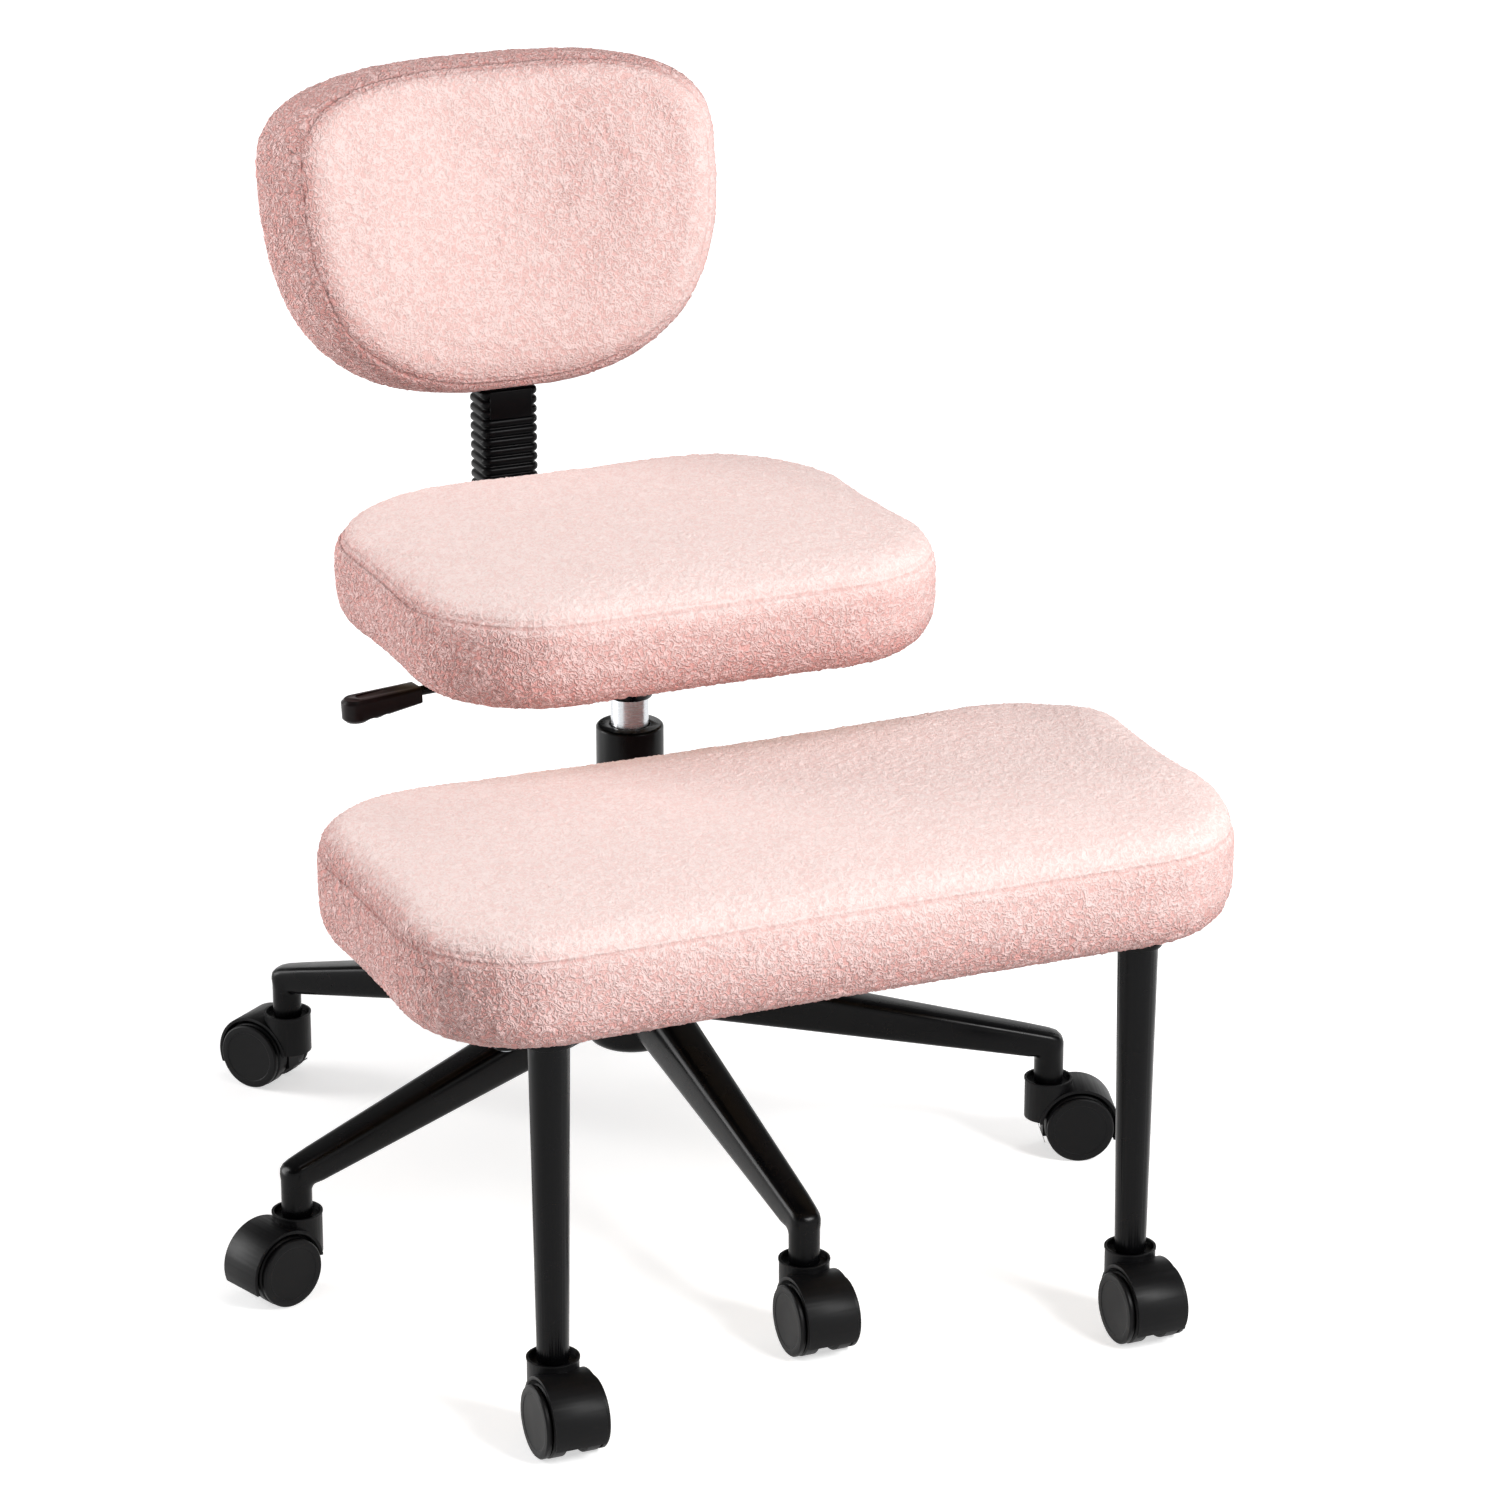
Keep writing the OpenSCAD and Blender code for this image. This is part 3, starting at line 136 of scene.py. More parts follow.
def sherpaFleece(rule):
    # Knitted polyester sherpa: matte curls of yarn, with a painted highlight where they stand up
    # and painted shade, deep pink, in their gaps
    material, tree = newMaterial("sherpa fleece, brushed polyester")
    point = objectPoint(tree)
    # winding curls: the middle value of a twisted noise runs in loops, as the yarn does
    winding = addNode(tree, "ShaderNodeTexNoise", inputs={
        "Scale": 1 / (rule["curl"] * mm), "Detail": 0.0, "Distortion": rule["twist"]}, links={"Vector": point})
    centred = addNode(tree, "ShaderNodeMath", {"operation": "SUBTRACT"}, {1: 0.5}, {0: winding.outputs["Fac"]})
    side = addNode(tree, "ShaderNodeMath", {"operation": "ABSOLUTE"}, links={0: centred.outputs[0]})
    curl = addNode(tree, "ShaderNodeMapRange", {"interpolation_type": "SMOOTHSTEP"}, {
        "From Min": 0.0, "From Max": rule["flank"], "To Min": 1.0, "To Max": 0.0}, {"Value": side.outputs[0]})
    threads = addNode(tree, "ShaderNodeTexNoise", inputs={
        "Scale": 1 / (rule["thread"] * mm), "Detail": 1.0}, links={"Vector": point})
    clump = addNode(tree, "ShaderNodeTexNoise", inputs={
        "Scale": 1 / (rule["clump"] * mm), "Detail": 1.0}, links={"Vector": point})
    loose = addNode(tree, "ShaderNodeMath", {"operation": "MULTIPLY_ADD"}, {1: rule["threadShare"]},
                    {0: threads.outputs["Fac"], 2: curl.outputs[0]})
    height = addNode(tree, "ShaderNodeMath", {"operation": "MULTIPLY_ADD"}, {1: rule["clumpShare"]},
                     {0: clump.outputs["Fac"], 2: loose.outputs[0]})
    level = addNode(tree, "ShaderNodeMapRange", inputs={
        "From Min": rule["lowest"], "From Max": rule["highest"]}, links={"Value": height.outputs[0]})
    # the ramp paints shade into the gaps between curls and a highlight onto their tops
    color = setRamp(addNode(tree, "ShaderNodeValToRGB", links={"Fac": level.outputs[0]}),
                    [(0.0, rule["crevice"]), (rule["middleAt"], rule["middle"]), (1.0, rule["tip"])])
    # brushed down on the face that carries the sitter, which is turned to the lamps, and open elsewhere, where
    # painted shade darkens the pink
    openPileAndShade = addNode(tree, "ShaderNodeAttribute", {"attribute_name": "openPileAndShade"}).outputs["Fac"]
    relief = addNode(tree, "ShaderNodeMapRange", inputs={"To Min": rule["closed"]}, links={"Value": openPileAndShade})
    brushed = addNode(tree, "ShaderNodeMix", {"data_type": "RGBA"}, {6: hexColor(rule["middle"])},
                      {"Factor": relief.outputs[0], 7: color})
    openTintedAndShaded = addNode(tree, "ShaderNodeMix", {"data_type": "RGBA", "blend_type": "MULTIPLY"},
                     {7: (*rule["openTintAndShade"], 1.0)}, {"Factor": openPileAndShade, 6: brushed.outputs[2]})
    # the seam and its topstitching press the pile down, and painted shade darkens their groove
    seamAway = addNode(tree, "ShaderNodeAttribute", {"attribute_name": "seamAway"}).outputs["Fac"]
    sewn = addNode(tree, "ShaderNodeMath", {"operation": "MULTIPLY_ADD"}, {1: rule["topstitchShare"]}, {
        0: nearLine(tree, seamAway, rule["topstitch"], rule["seam"]),
        2: nearLine(tree, seamAway, 0, rule["seam"])})
    shade = addNode(tree, "ShaderNodeMath", {"operation": "MULTIPLY"}, {1: rule["sewnShade"]},
                    {0: sewn.outputs[0]})
    seamShaded = addNode(tree, "ShaderNodeMix", {"data_type": "RGBA", "blend_type": "MULTIPLY"},
                      {7: hexColor(rule["sewn"])}, {"Factor": shade.outputs[0], 6: openTintedAndShaded.outputs[2]})
    sunk = addNode(tree, "ShaderNodeMath", {"operation": "MULTIPLY_ADD"}, {1: -rule["sewnSink"]},
                   {0: sewn.outputs[0], 2: height.outputs[0]})
    strength = addNode(tree, "ShaderNodeMath", {"operation": "MULTIPLY"}, {1: rule["relief"]},
                       {0: relief.outputs[0]})
    bump = addNode(tree, "ShaderNodeBump", inputs={"Distance": rule["pile"] * mm},
                   links={"Height": sunk.outputs[0], "Strength": strength.outputs[0]})
    shader = addNode(tree, "ShaderNodeBsdfPrincipled", inputs={
        "Roughness": rule["roughness"], "Specular IOR Level": rule["gloss"], "Sheen Weight": rule["sheen"],
        "Sheen Roughness": rule["sheenRoughness"], "Sheen Tint": hexColor(rule["sheenColor"])},
        links={"Base Color": seamShaded.outputs[2], "Normal": bump.outputs["Normal"]})
    finishMaterial(tree, shader)
    return material


# mm for the patches of handling and the depth of the grain, and by how much the patches change gloss and tone
skinRule = {"patch": 45, "patchLow": 0.3, "patchHigh": 0.7, "smoother": 0.05, "rougher": 0.06, "paler": 1.35,
            "detail": 3.0, "relief": 0.12, "grainDepth": 0.1}


def evenSkin(name, color, roughness, grain, specular):
    # Moulded or coated surface: an even skin whose fine grain spreads the light, a little worn in patches
    material, tree = newMaterial(name)
    rule = skinRule
    point = objectPoint(tree)
    skin = addNode(tree, "ShaderNodeTexNoise", inputs={"Scale": 1 / (grain * mm), "Detail": rule["detail"]},
                   links={"Vector": point})
    wear = addNode(tree, "ShaderNodeTexNoise", inputs={
        "Scale": 1 / (rule["patch"] * mm), "Detail": rule["detail"]}, links={"Vector": point})
    rough = addNode(tree, "ShaderNodeMapRange", inputs={
        "From Min": rule["patchLow"], "From Max": rule["patchHigh"],
        "To Min": roughness - rule["smoother"], "To Max": roughness + rule["rougher"]},
        links={"Value": wear.outputs["Fac"]})
    worn = [c * rule["paler"] for c in hexColor(color)[:3]] + [1.0]
    tone = addNode(tree, "ShaderNodeMix", {"data_type": "RGBA"}, {6: hexColor(color), 7: worn},
                   {"Factor": wear.outputs["Fac"]})
    bump = addNode(tree, "ShaderNodeBump", inputs={
        "Strength": rule["relief"], "Distance": rule["grainDepth"] * mm}, links={"Height": skin.outputs["Fac"]})
    shader = addNode(tree, "ShaderNodeBsdfPrincipled", inputs={"Specular IOR Level": specular}, links={
        "Base Color": tone.outputs[2], "Roughness": rough.outputs[0], "Normal": bump.outputs["Normal"]})
    finishMaterial(tree, shader)
    return material


# stretch draws the noise out round the tube, spread is how much the lines change the roughness, depth in mm
metalRule = {"stretch": (0.05, 0.05, 1), "spread": 0.25, "detail": 2.0, "relief": 0.1, "lineDepth": 0.05}


def groundMetal(name, color, roughness, line):
    # Ground or plated steel: fine lines round the tube draw the highlight out
    material, tree = newMaterial(name)
    rule = metalRule
    lines = addNode(tree, "ShaderNodeTexNoise", inputs={"Scale": 1 / (line * mm), "Detail": rule["detail"]},
                    links={"Vector": objectPoint(tree, rule["stretch"])})
    rough = addNode(tree, "ShaderNodeMapRange", inputs={
        "To Min": roughness * (1 - rule["spread"]), "To Max": roughness * (1 + rule["spread"])},
        links={"Value": lines.outputs["Fac"]})
    bump = addNode(tree, "ShaderNodeBump", inputs={
        "Strength": rule["relief"], "Distance": rule["lineDepth"] * mm}, links={"Height": lines.outputs["Fac"]})
    shader = addNode(tree, "ShaderNodeBsdfPrincipled", inputs={"Base Color": hexColor(color), "Metallic": 1.0},
                     links={"Roughness": rough.outputs[0], "Normal": bump.outputs["Normal"]})
    finishMaterial(tree, shader)
    return material


plywoodRule = {
    "grain": 3, "grainDepth": 0.1, "ply": 1.4,       # mm
    "stretch": (0.12, 1, 1),                         # the grain runs across the chair
    "detail": 5.0, "waver": 0.4, "relief": 0.15, "roughness": 0.6,
    "face": [(0.3, "#b98f5f"), (0.5, "#cfae80"), (0.72, "#dfc39a")],
    "edge": [(0.1, "#8a6238"), (0.4, "#c8a373"), (1.0, "#d9bb8e")],
}
waveWidth = 0.314                                    # a Wave texture's band at a scale of 1


def birchPlywood(rule):
    # Birch plywood: pale long grain on the faces and thin glue lines between the plies on the edges
    material, tree = newMaterial("birch plywood, sanded")
    grain = addNode(tree, "ShaderNodeTexNoise", inputs={
        "Scale": 1 / (rule["grain"] * mm), "Detail": rule["detail"], "Distortion": rule["waver"]},
        links={"Vector": objectPoint(tree, rule["stretch"])})
    plies = addNode(tree, "ShaderNodeTexWave", {"bands_direction": "Z"},
                    {"Scale": waveWidth / (2 * rule["ply"] * mm), "Distortion": 0.0},
                    {"Vector": objectPoint(tree)})
    face = setRamp(addNode(tree, "ShaderNodeValToRGB", links={"Fac": grain.outputs["Fac"]}), rule["face"])
    edge = setRamp(addNode(tree, "ShaderNodeValToRGB", links={"Fac": plies.outputs["Fac"]}), rule["edge"])
    side = addNode(tree, "ShaderNodeNewGeometry")
    up = addNode(tree, "ShaderNodeSeparateXYZ", links={"Vector": side.outputs["Normal"]})
    flat = addNode(tree, "ShaderNodeMath", {"operation": "ABSOLUTE"}, links={0: up.outputs["Z"]})
    tone = addNode(tree, "ShaderNodeMix", {"data_type": "RGBA"},
                   links={"Factor": flat.outputs[0], 6: edge, 7: face})
    bump = addNode(tree, "ShaderNodeBump", inputs={
        "Strength": rule["relief"], "Distance": rule["grainDepth"] * mm}, links={"Height": grain.outputs["Fac"]})
    shader = addNode(tree, "ShaderNodeBsdfPrincipled", inputs={"Roughness": rule["roughness"]},
                     links={"Base Color": tone.outputs[2], "Normal": bump.outputs["Normal"]})
    finishMaterial(tree, shader)
    return material


finishes = {
    "pink_fleece": sherpaFleece(sherpaRule),
    # name, colour, roughness, grain in mm, drawn coarser than real so that it shows, and specular level
    # satin black that draws a soft, long light down each tube, with a faint orange-peel grain
    "powder_coated_steel": evenSkin("steel, satin black powder coat", "#050506", 0.27, 0.9, 0.12),
    # glass fibre leaves the moulding matte, so its lights are wide and dull
    "black_nylon": evenSkin("glass-filled nylon, moulded matte", "#060607", 0.45, 0.5, 0.15),
    # softer gloss, and a brown cast under the lamp
    "lever_plastic": evenSkin("polypropylene, moulded satin", "#110809", 0.34, 0.5, 0.15),
    # deepest black, with a thin light on each rib
    "bellows_plastic": evenSkin("thermoplastic rubber, moulded", "#040405", 0.36, 0.4, 0.08),
    # waxy off-white
    "natural_acetal": evenSkin("acetal, moulded natural", "#d8d6cc", 0.4, 0.5, 0.5),
    # name, colour, roughness, ground line in mm, drawn coarser than real so that it shows
    # bright and cool, with its light smeared round the tube
    "bright_steel": groundMetal("steel, centreless ground and chromed", "#c6c8cb", 0.27, 0.6),
    # duller grey with a cloudy light
    "zinc_steel": groundMetal("steel, zinc plated", "#a3a6aa", 0.4, 1.2),
    "birch_plywood": birchPlywood(plywoodRule),
}
print("materials ready")


# Making and placing pieces

def newPiece(name, bm, slot):
    mesh = bpy.data.meshes.new(name)
    bm.to_mesh(mesh)
    bm.free()
    mesh.polygons.foreach_set("use_smooth", [True] * len(mesh.polygons))
    mesh.materials.clear()
    mesh.materials.append(finishes[slot])
    piece = bpy.data.objects.new(name, mesh)
    bpy.context.scene.collection.objects.link(piece)
    return piece


def fitPiece(piece, body, slot, *nodes):
    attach(piece, body)
    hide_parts(*nodes)


def applyModifiers(piece):
    graph = bpy.context.evaluated_depsgraph_get()
    mesh = bpy.data.meshes.new_from_object(piece.evaluated_get(graph))
    piece.modifiers.clear()
    piece.data = mesh


def turned(profile, rounds, steps, roundSteps):
    # Profile of (radius, height) in mm spun round Z. rounds gives the radius of each corner that is rounded
    bm = bmesh.new()
    points = [bm.verts.new((r * mm, 0, z * mm)) for r, z in profile]
    edges = [bm.edges.new((points[k], points[(k + 1) % len(points)])) for k in range(len(points))]
    bmesh.ops.spin(bm, geom=points + edges, cent=(0, 0, 0), axis=(0, 0, 1), angle=2 * math.pi,
                   steps=steps, use_merge=True)
    bmesh.ops.remove_doubles(bm, verts=bm.verts, dist=sameSpot)
    bmesh.ops.dissolve_degenerate(bm, edges=bm.edges, dist=zeroEdge)
    bmesh.ops.recalc_face_normals(bm, faces=bm.faces)
    for corner, radius in rounds.items():
        r, z = (value * mm for value in profile[corner])
        ring = [e for e in bm.edges if all(
            abs(math.hypot(v.co.x, v.co.y) - r) < sameSpot and abs(v.co.z - z) < sameSpot for v in e.verts)]
        bmesh.ops.bevel(bm, geom=ring, offset=radius * mm, segments=roundSteps, profile=0.5, affect="EDGES",
                        material=-1)
    return bm


sharpAngle = 32          # degrees past which an edge gets broken
nearlyFlat = 0.5         # degrees under which the CAD's triangles are one face
edgeSteps = 3            # facets across a broken edge


def softenedCopy(node, name, width, body, slot):
    # Copy of a CAD part with its edges broken by a small radius, as moulding and coating leave them
    bm = bmesh.new()
    bm.from_mesh(frame["nodes"][node].data)
    bmesh.ops.remove_doubles(bm, verts=bm.verts, dist=sameSpot)
    bmesh.ops.dissolve_limit(bm, angle_limit=math.radians(nearlyFlat), verts=bm.verts, edges=bm.edges,
                             delimit={"NORMAL"})
    piece = newPiece(name, bm, slot)
    bevel = piece.modifiers.new("broken edges", "BEVEL")
    bevel.width = width * mm
    bevel.segments = edgeSteps
    bevel.limit_method = "ANGLE"
    bevel.angle_limit = math.radians(sharpAngle)
    bevel.harden_normals = True
    bevel.use_clamp_overlap = True
    applyModifiers(piece)
    fitPiece(piece, body, slot, node)


# Cushions

# what the three covers share, in mm
coverRule = {
    "voxel": 6,                        # size of the even mesh that is stuffed
    "drawIn": 2.0,                     # how much smaller the cover starts
    "swellCap": 7,                     # furthest that it swells
    "topstitch": sherpaRule["topstitch"],
    "topstitchShare": 0.5,             # its depth, as a share of the seam's
    "faceFrom": (0.8, 0.95),           # the sitter's face starts where the normal points this far to the front
    "faceClear": 30,                   # keeps the sewn lines off that face
}
cushionRules = {
    # hold: heights between which the cover comes free of its board
    # facing, openAt, closedAt: the pile closes, and its painted shade fades, as the normal turns this way, to
    # the lamps
    # leastOpen: how open it stays where it faces this way in full, and so how much painted shade is left there
    "seatCushion": {
        "node": "seat_cushion", "body": "seat", "hold": (441, 470), "heldLift": 2.0,
        "seamZ": 500.5, "seamDepth": 1.1, "seamWidth": 1.6,
        "front": (0, 0, 1), "facing": (0.25, -0.35, 0.9), "openAt": -0.05, "closedAt": 0.88, "leastOpen": 0,
        "rearDroop": 5, "droopAcross": (60, 190), "droopBack": (-30, 110), "droopUp": (460, 510),
    },
    "benchCushion": {
        "node": "bench_cushion", "body": "bench", "hold": (304, 334), "heldLift": 2.0,
        "seamZ": 364, "seamDepth": 1.1, "seamWidth": 1.6,
        "front": (0, 0, 1), "facing": (0.25, -0.35, 0.9), "openAt": -0.05, "closedAt": 0.88, "leastOpen": 0,
        "endLift": 7, "endMiddle": -262, "endAcross": (230, 285), "endUp": (355, 378), "endAlong": (60, 130),
    },
    # mouth: the opening for the back bar and bellows, seen from behind, and mouthBehind how deep it is held
    # barRoom: two corners of the space in which the bar's end slides
    "backCushion": {
        "node": "back_cushion", "body": "backrest", "heldLift": 0,
        "lean": 12, "middle": (282, 719.5), "wrapRadius": 644,
        "seamFront": -29.6, "seamDepth": 0.8, "seamWidth": 3,
        "front": (0, -0.98, 0.2), "facing": (0.44, -0.88, 0.19),
        "openAt": 0.5, "closedAt": 1.0, "leastOpen": 0.22,
        "mouth": (-45, 540, 45, 730), "mouthFade": 25, "mouthBehind": (0.5, 4),
        "barRoom": ((-22.5, 241.5, 640), (22.5, 258.5, 669)),
    },
}
# mm, but for the twist
pileRule = {"curl": 4.2, "curlHeight": 1.3, "clump": 16, "clumpHeight": 0.8, "twist": 1.6}
# slack: how much wider the cover is cut than the filling it starts on
# sinkCap: mm that it may fall in, evenRounds: passes in which each point takes after its neighbours
simRule = {"pressure": 0.7, "frames": 20, "quality": 5, "mass": 0.25, "stiffness": 18, "bending": 4,
           "slack": 0.009, "sinkCap": 0.3, "evenRounds": 24}


def smoothStep(low, high, value):
    t = min(max((value - low) / (high - low), 0), 1)
    return t * t * (3 - 2 * t)


def seamDistance(rule, p):
    # How far a point lies from the seam, in mm: along the height, or through the backrest's bent, leaning slab
    x, y, z = p / mm
    if "seamZ" in rule:
        return z - rule["seamZ"]
    turn = math.radians(rule["lean"])
    out = (y - rule["middle"][0]) * math.cos(turn) - (z - rule["middle"][1]) * math.sin(turn)
    return rule["seamFront"] + rule["wrapRadius"] - math.hypot(x, out + rule["wrapRadius"])


def heldShare(rule, p):
    # 1 where the cover is held on its board or in the mouth of the backrest, and 0 where it is free
    x, y, z = p / mm
    if "hold" in rule:
        return 1 - smoothStep(*rule["hold"], z)
    x0, z0, x1, z1 = rule["mouth"]
    gap = max(x0 - x, x - x1, z0 - z, z - z1)
    deep = smoothStep(*rule["mouthBehind"], seamDistance(rule, p))
    return (1 - smoothStep(0, rule["mouthFade"], gap)) * (1 - deep)


def inflate(piece, rule):
    # Stuffs the cover from inside. The foam under it evens the folds, and where it is held it stays put
    rest = [v.co.copy() for v in piece.data.vertices]
    normals = [n.vector.copy() for n in piece.data.vertex_normals]
    cloth = piece.modifiers.new("stuffing", "CLOTH")
    cloth.settings.quality = simRule["quality"]
    cloth.settings.mass = simRule["mass"]
    cloth.settings.tension_stiffness = simRule["stiffness"]
    cloth.settings.compression_stiffness = simRule["stiffness"]
    cloth.settings.bending_stiffness = simRule["bending"]
    cloth.settings.shrink_min = -simRule["slack"]
    cloth.settings.use_pressure = True
    cloth.settings.uniform_pressure_force = simRule["pressure"]
    cloth.settings.effector_weights.gravity = 0
    cloth.point_cache.frame_end = simRule["frames"]
    for step in range(1, simRule["frames"] + 1):
        bpy.context.scene.frame_set(step)
    applyModifiers(piece)
    swell = [min(max((v.co - start).dot(normal), -simRule["sinkCap"] * mm), coverRule["swellCap"] * mm)
             for v, start, normal in zip(piece.data.vertices, rest, normals)]
    beside = [[] for _ in rest]
    for edge in piece.data.edges:
        first, second = edge.vertices
        beside[first].append(second)
        beside[second].append(first)
    for _ in range(simRule["evenRounds"]):
        swell = [(own + sum(swell[k] for k in around) / len(around)) / 2 for own, around in zip(swell, beside)]
    for v, start, normal, out in zip(piece.data.vertices, rest, normals, swell):
        held = heldShare(rule, start)
        v.co = start + normal * (out * (1 - held) + rule["heldLift"] * mm * held)


def droopRear(piece, rule):
    # The rear corners of the seat hang a little
    for v in piece.data.vertices:
        x, y, z = v.co / mm
        v.co.z -= (rule["rearDroop"] * mm * smoothStep(*rule["droopAcross"], abs(x))
                   * smoothStep(*rule["droopBack"], y) * smoothStep(*rule["droopUp"], z))


def fillEnds(piece, rule):
    # The bench is stuffed fuller at the middle of both ends
    for v in piece.data.vertices:
        x, y, z = v.co / mm
        v.co.z += (rule["endLift"] * mm * smoothStep(*rule["endAcross"], abs(x))
                   * smoothStep(*rule["endUp"], z)
                   * (1 - smoothStep(*rule["endAlong"], abs(y - rule["endMiddle"]))))


def markOpenPileAndShade(piece, rule):
    # The face that carries the sitter, turned to the lamps, is brushed close, and the pile stands open on its
    # borders and sides, where the material paints shade
    openPileAndShade = piece.data.attributes.new("openPileAndShade", "FLOAT", "POINT")
    facing = Vector(rule["facing"]).normalized()
    closed = [smoothStep(rule["openAt"], rule["closedAt"], n.vector.dot(facing))
              for n in piece.data.vertex_normals]
    openPileAndShade.data.foreach_set("value", [1 - (1 - rule["leastOpen"]) * share for share in closed])


def sewnIn(distance, width):
    return math.exp(-(distance / width) ** 2)


def sewSeam(piece, rule):
    # Sinks the seam and its row of topstitching, away from the face that carries the sitter,
    # and notes each point's distance for the material
    normals = [n.vector.copy() for n in piece.data.vertex_normals]
    front = Vector(rule["front"])
    clear = [coverRule["faceClear"] * smoothStep(*coverRule["faceFrom"], normal.dot(front))
             for normal in normals]
    away = [seamDistance(rule, v.co) + extra for v, extra in zip(piece.data.vertices, clear)]
    for v, normal, distance in zip(piece.data.vertices, normals, away):
        seam = sewnIn(distance, rule["seamWidth"])
        topstitch = sewnIn(distance - coverRule["topstitch"], rule["seamWidth"])
        v.co -= normal * rule["seamDepth"] * mm * (seam + coverRule["topstitchShare"] * topstitch)
    seamAway = piece.data.attributes.new("seamAway", "FLOAT", "POINT")
    seamAway.data.foreach_set("value", away)


def addPile(piece, rule):
    # Curls stand up from the cover in tufts, but not in the mouth where the back bar slides
    group = piece.vertex_groups.new(name="pile")
    for v in piece.data.vertices:
        group.add([v.index], 1 - heldShare(rule, v.co) if "mouth" in rule else 1, "REPLACE")
    for name, kind, size, height in (("tufts", "CLOUDS", pileRule["clump"], pileRule["clumpHeight"]),
                                     ("curls", "DISTORTED_NOISE", pileRule["curl"], pileRule["curlHeight"])):
        texture = bpy.data.textures.new(name, kind)
        texture.noise_scale = size * mm
        if kind == "DISTORTED_NOISE":
            texture.distortion = pileRule["twist"]
            texture.noise_basis = "IMPROVED_PERLIN"
            texture.noise_distortion = "IMPROVED_PERLIN"
        pile = piece.modifiers.new(name, "DISPLACE")
        pile.texture = texture
        pile.texture_coords = "LOCAL"
        pile.strength = height * mm
        pile.mid_level = 0.5
        pile.vertex_group = "pile"
    applyModifiers(piece)
    piece.vertex_groups.clear()


def clearBarRoom(piece, low, high):
    # The even mesh closes the narrow end of the pocket, so its ceiling goes back up to where the bar needs it
    for v in piece.data.vertices:
        if all(a < c / mm < b for a, b, c in zip(low, high, v.co)):
            v.co.z = high[2] * mm


def makeCushion(name, rule):
    bm = bmesh.new()
    bm.from_mesh(frame["nodes"][rule["node"]].data)
    bmesh.ops.remove_doubles(bm, verts=bm.verts, dist=sameSpot)
    piece = newPiece(name, bm, "pink_fleece")
    smaller = piece.modifiers.new("smaller start", "DISPLACE")
    smaller.strength = -coverRule["drawIn"] * mm
    smaller.mid_level = 0
    voxels = piece.modifiers.new("even mesh", "REMESH")
    voxels.mode = "VOXEL"
    voxels.voxel_size = coverRule["voxel"] * mm
    applyModifiers(piece)
    inflate(piece, rule)
    if "rearDroop" in rule:
        droopRear(piece, rule)
    if "endLift" in rule:
        fillEnds(piece, rule)
    markOpenPileAndShade(piece, rule)
    finer = piece.modifiers.new("finer", "SUBSURF")
    finer.levels = finer.render_levels = 2
    applyModifiers(piece)
    sewSeam(piece, rule)
    addPile(piece, rule)
    if "barRoom" in rule:
        clearBarRoom(piece, *rule["barRoom"])
    piece.data.polygons.foreach_set("use_smooth", [True] * len(piece.data.polygons))
    fitPiece(piece, rule["body"], "pink_fleece", rule["node"])
    print(name, "sewn,", len(piece.data.polygons), "faces")


for cushionName, cushionRule in cushionRules.items():
    makeCushion(cushionName, cushionRule)


# Star base

# mm from the column's axis and from the floor
armRule = {
    "count": 5, "reach": 317, "postD": 22.3, "postEndZ": 59.3, "elbowWidth": 22.5,
    "rootReach": 22, "rootTopZ": 169.8, "rootDepth": 40.5, "rootWidth": 37.4,
    "tipReach": 300, "tipTopZ": 104.2, "tipDepth": 22.6, "tipWidth": 23.8, "stations": 8,
    # elbow, from the arm's end round to the post: outer point and inner point, both (reach, height)
    "elbow": [((318, 99.9), (304.6, 81)), ((323.6, 98), (305.2, 80.6)), ((326.8, 94.9), (305.6, 80)),
              ((328, 91), (305.8, 79)), ((328.15, 86), (305.85, 77))],
    "squareness": 4.2, "ellipse": 2,   # more than an ellipse's comes closer to a rectangle
    "around": 36,                      # points round the arm
    "edge": 0.6, "edgeAngle": 50, "edgeSteps": 2,      # mm, degrees and facets
}
hubRule = {"r": 34, "boreR": 25.02, "bottomZ": 106, "topZ": 178, "bottomRound": 8.8, "topRound": 3,
           "steps": 72, "roundSteps": 4}


def sectionLoop(bm, outer, inner, width, power):
    # Closed loop between two points of the arm's side view, width across
    loop = bmesh.ops.create_circle(bm, segments=armRule["around"], radius=1)["verts"]
    middle = (Vector((0, -outer[0], outer[1])) + Vector((0, -inner[0], inner[1]))) / 2
    half = (Vector((0, -outer[0], outer[1])) - Vector((0, -inner[0], inner[1]))) / 2
    for v in loop:
        a = math.atan2(v.co.y, v.co.x)
        across = math.copysign(abs(math.cos(a)) ** (2 / power), math.cos(a))
        along = math.copysign(abs(math.sin(a)) ** (2 / power), math.sin(a))
        v.co = (Vector((across * width / 2, 0, 0)) + middle + half * along) * mm
    return loop


def bridgeLoops(bm, loops):
    rings = []
    for loop in loops:
        found = set(loop)
        rings.append([e for e in bm.edges if e.verts[0] in found and e.verts[1] in found])
    for a, b in zip(rings, rings[1:]):
        bmesh.ops.bridge_loops(bm, edges=a + b)
    for ring in (rings[0], rings[-1]):
        bmesh.ops.holes_fill(bm, edges=ring, sides=0)


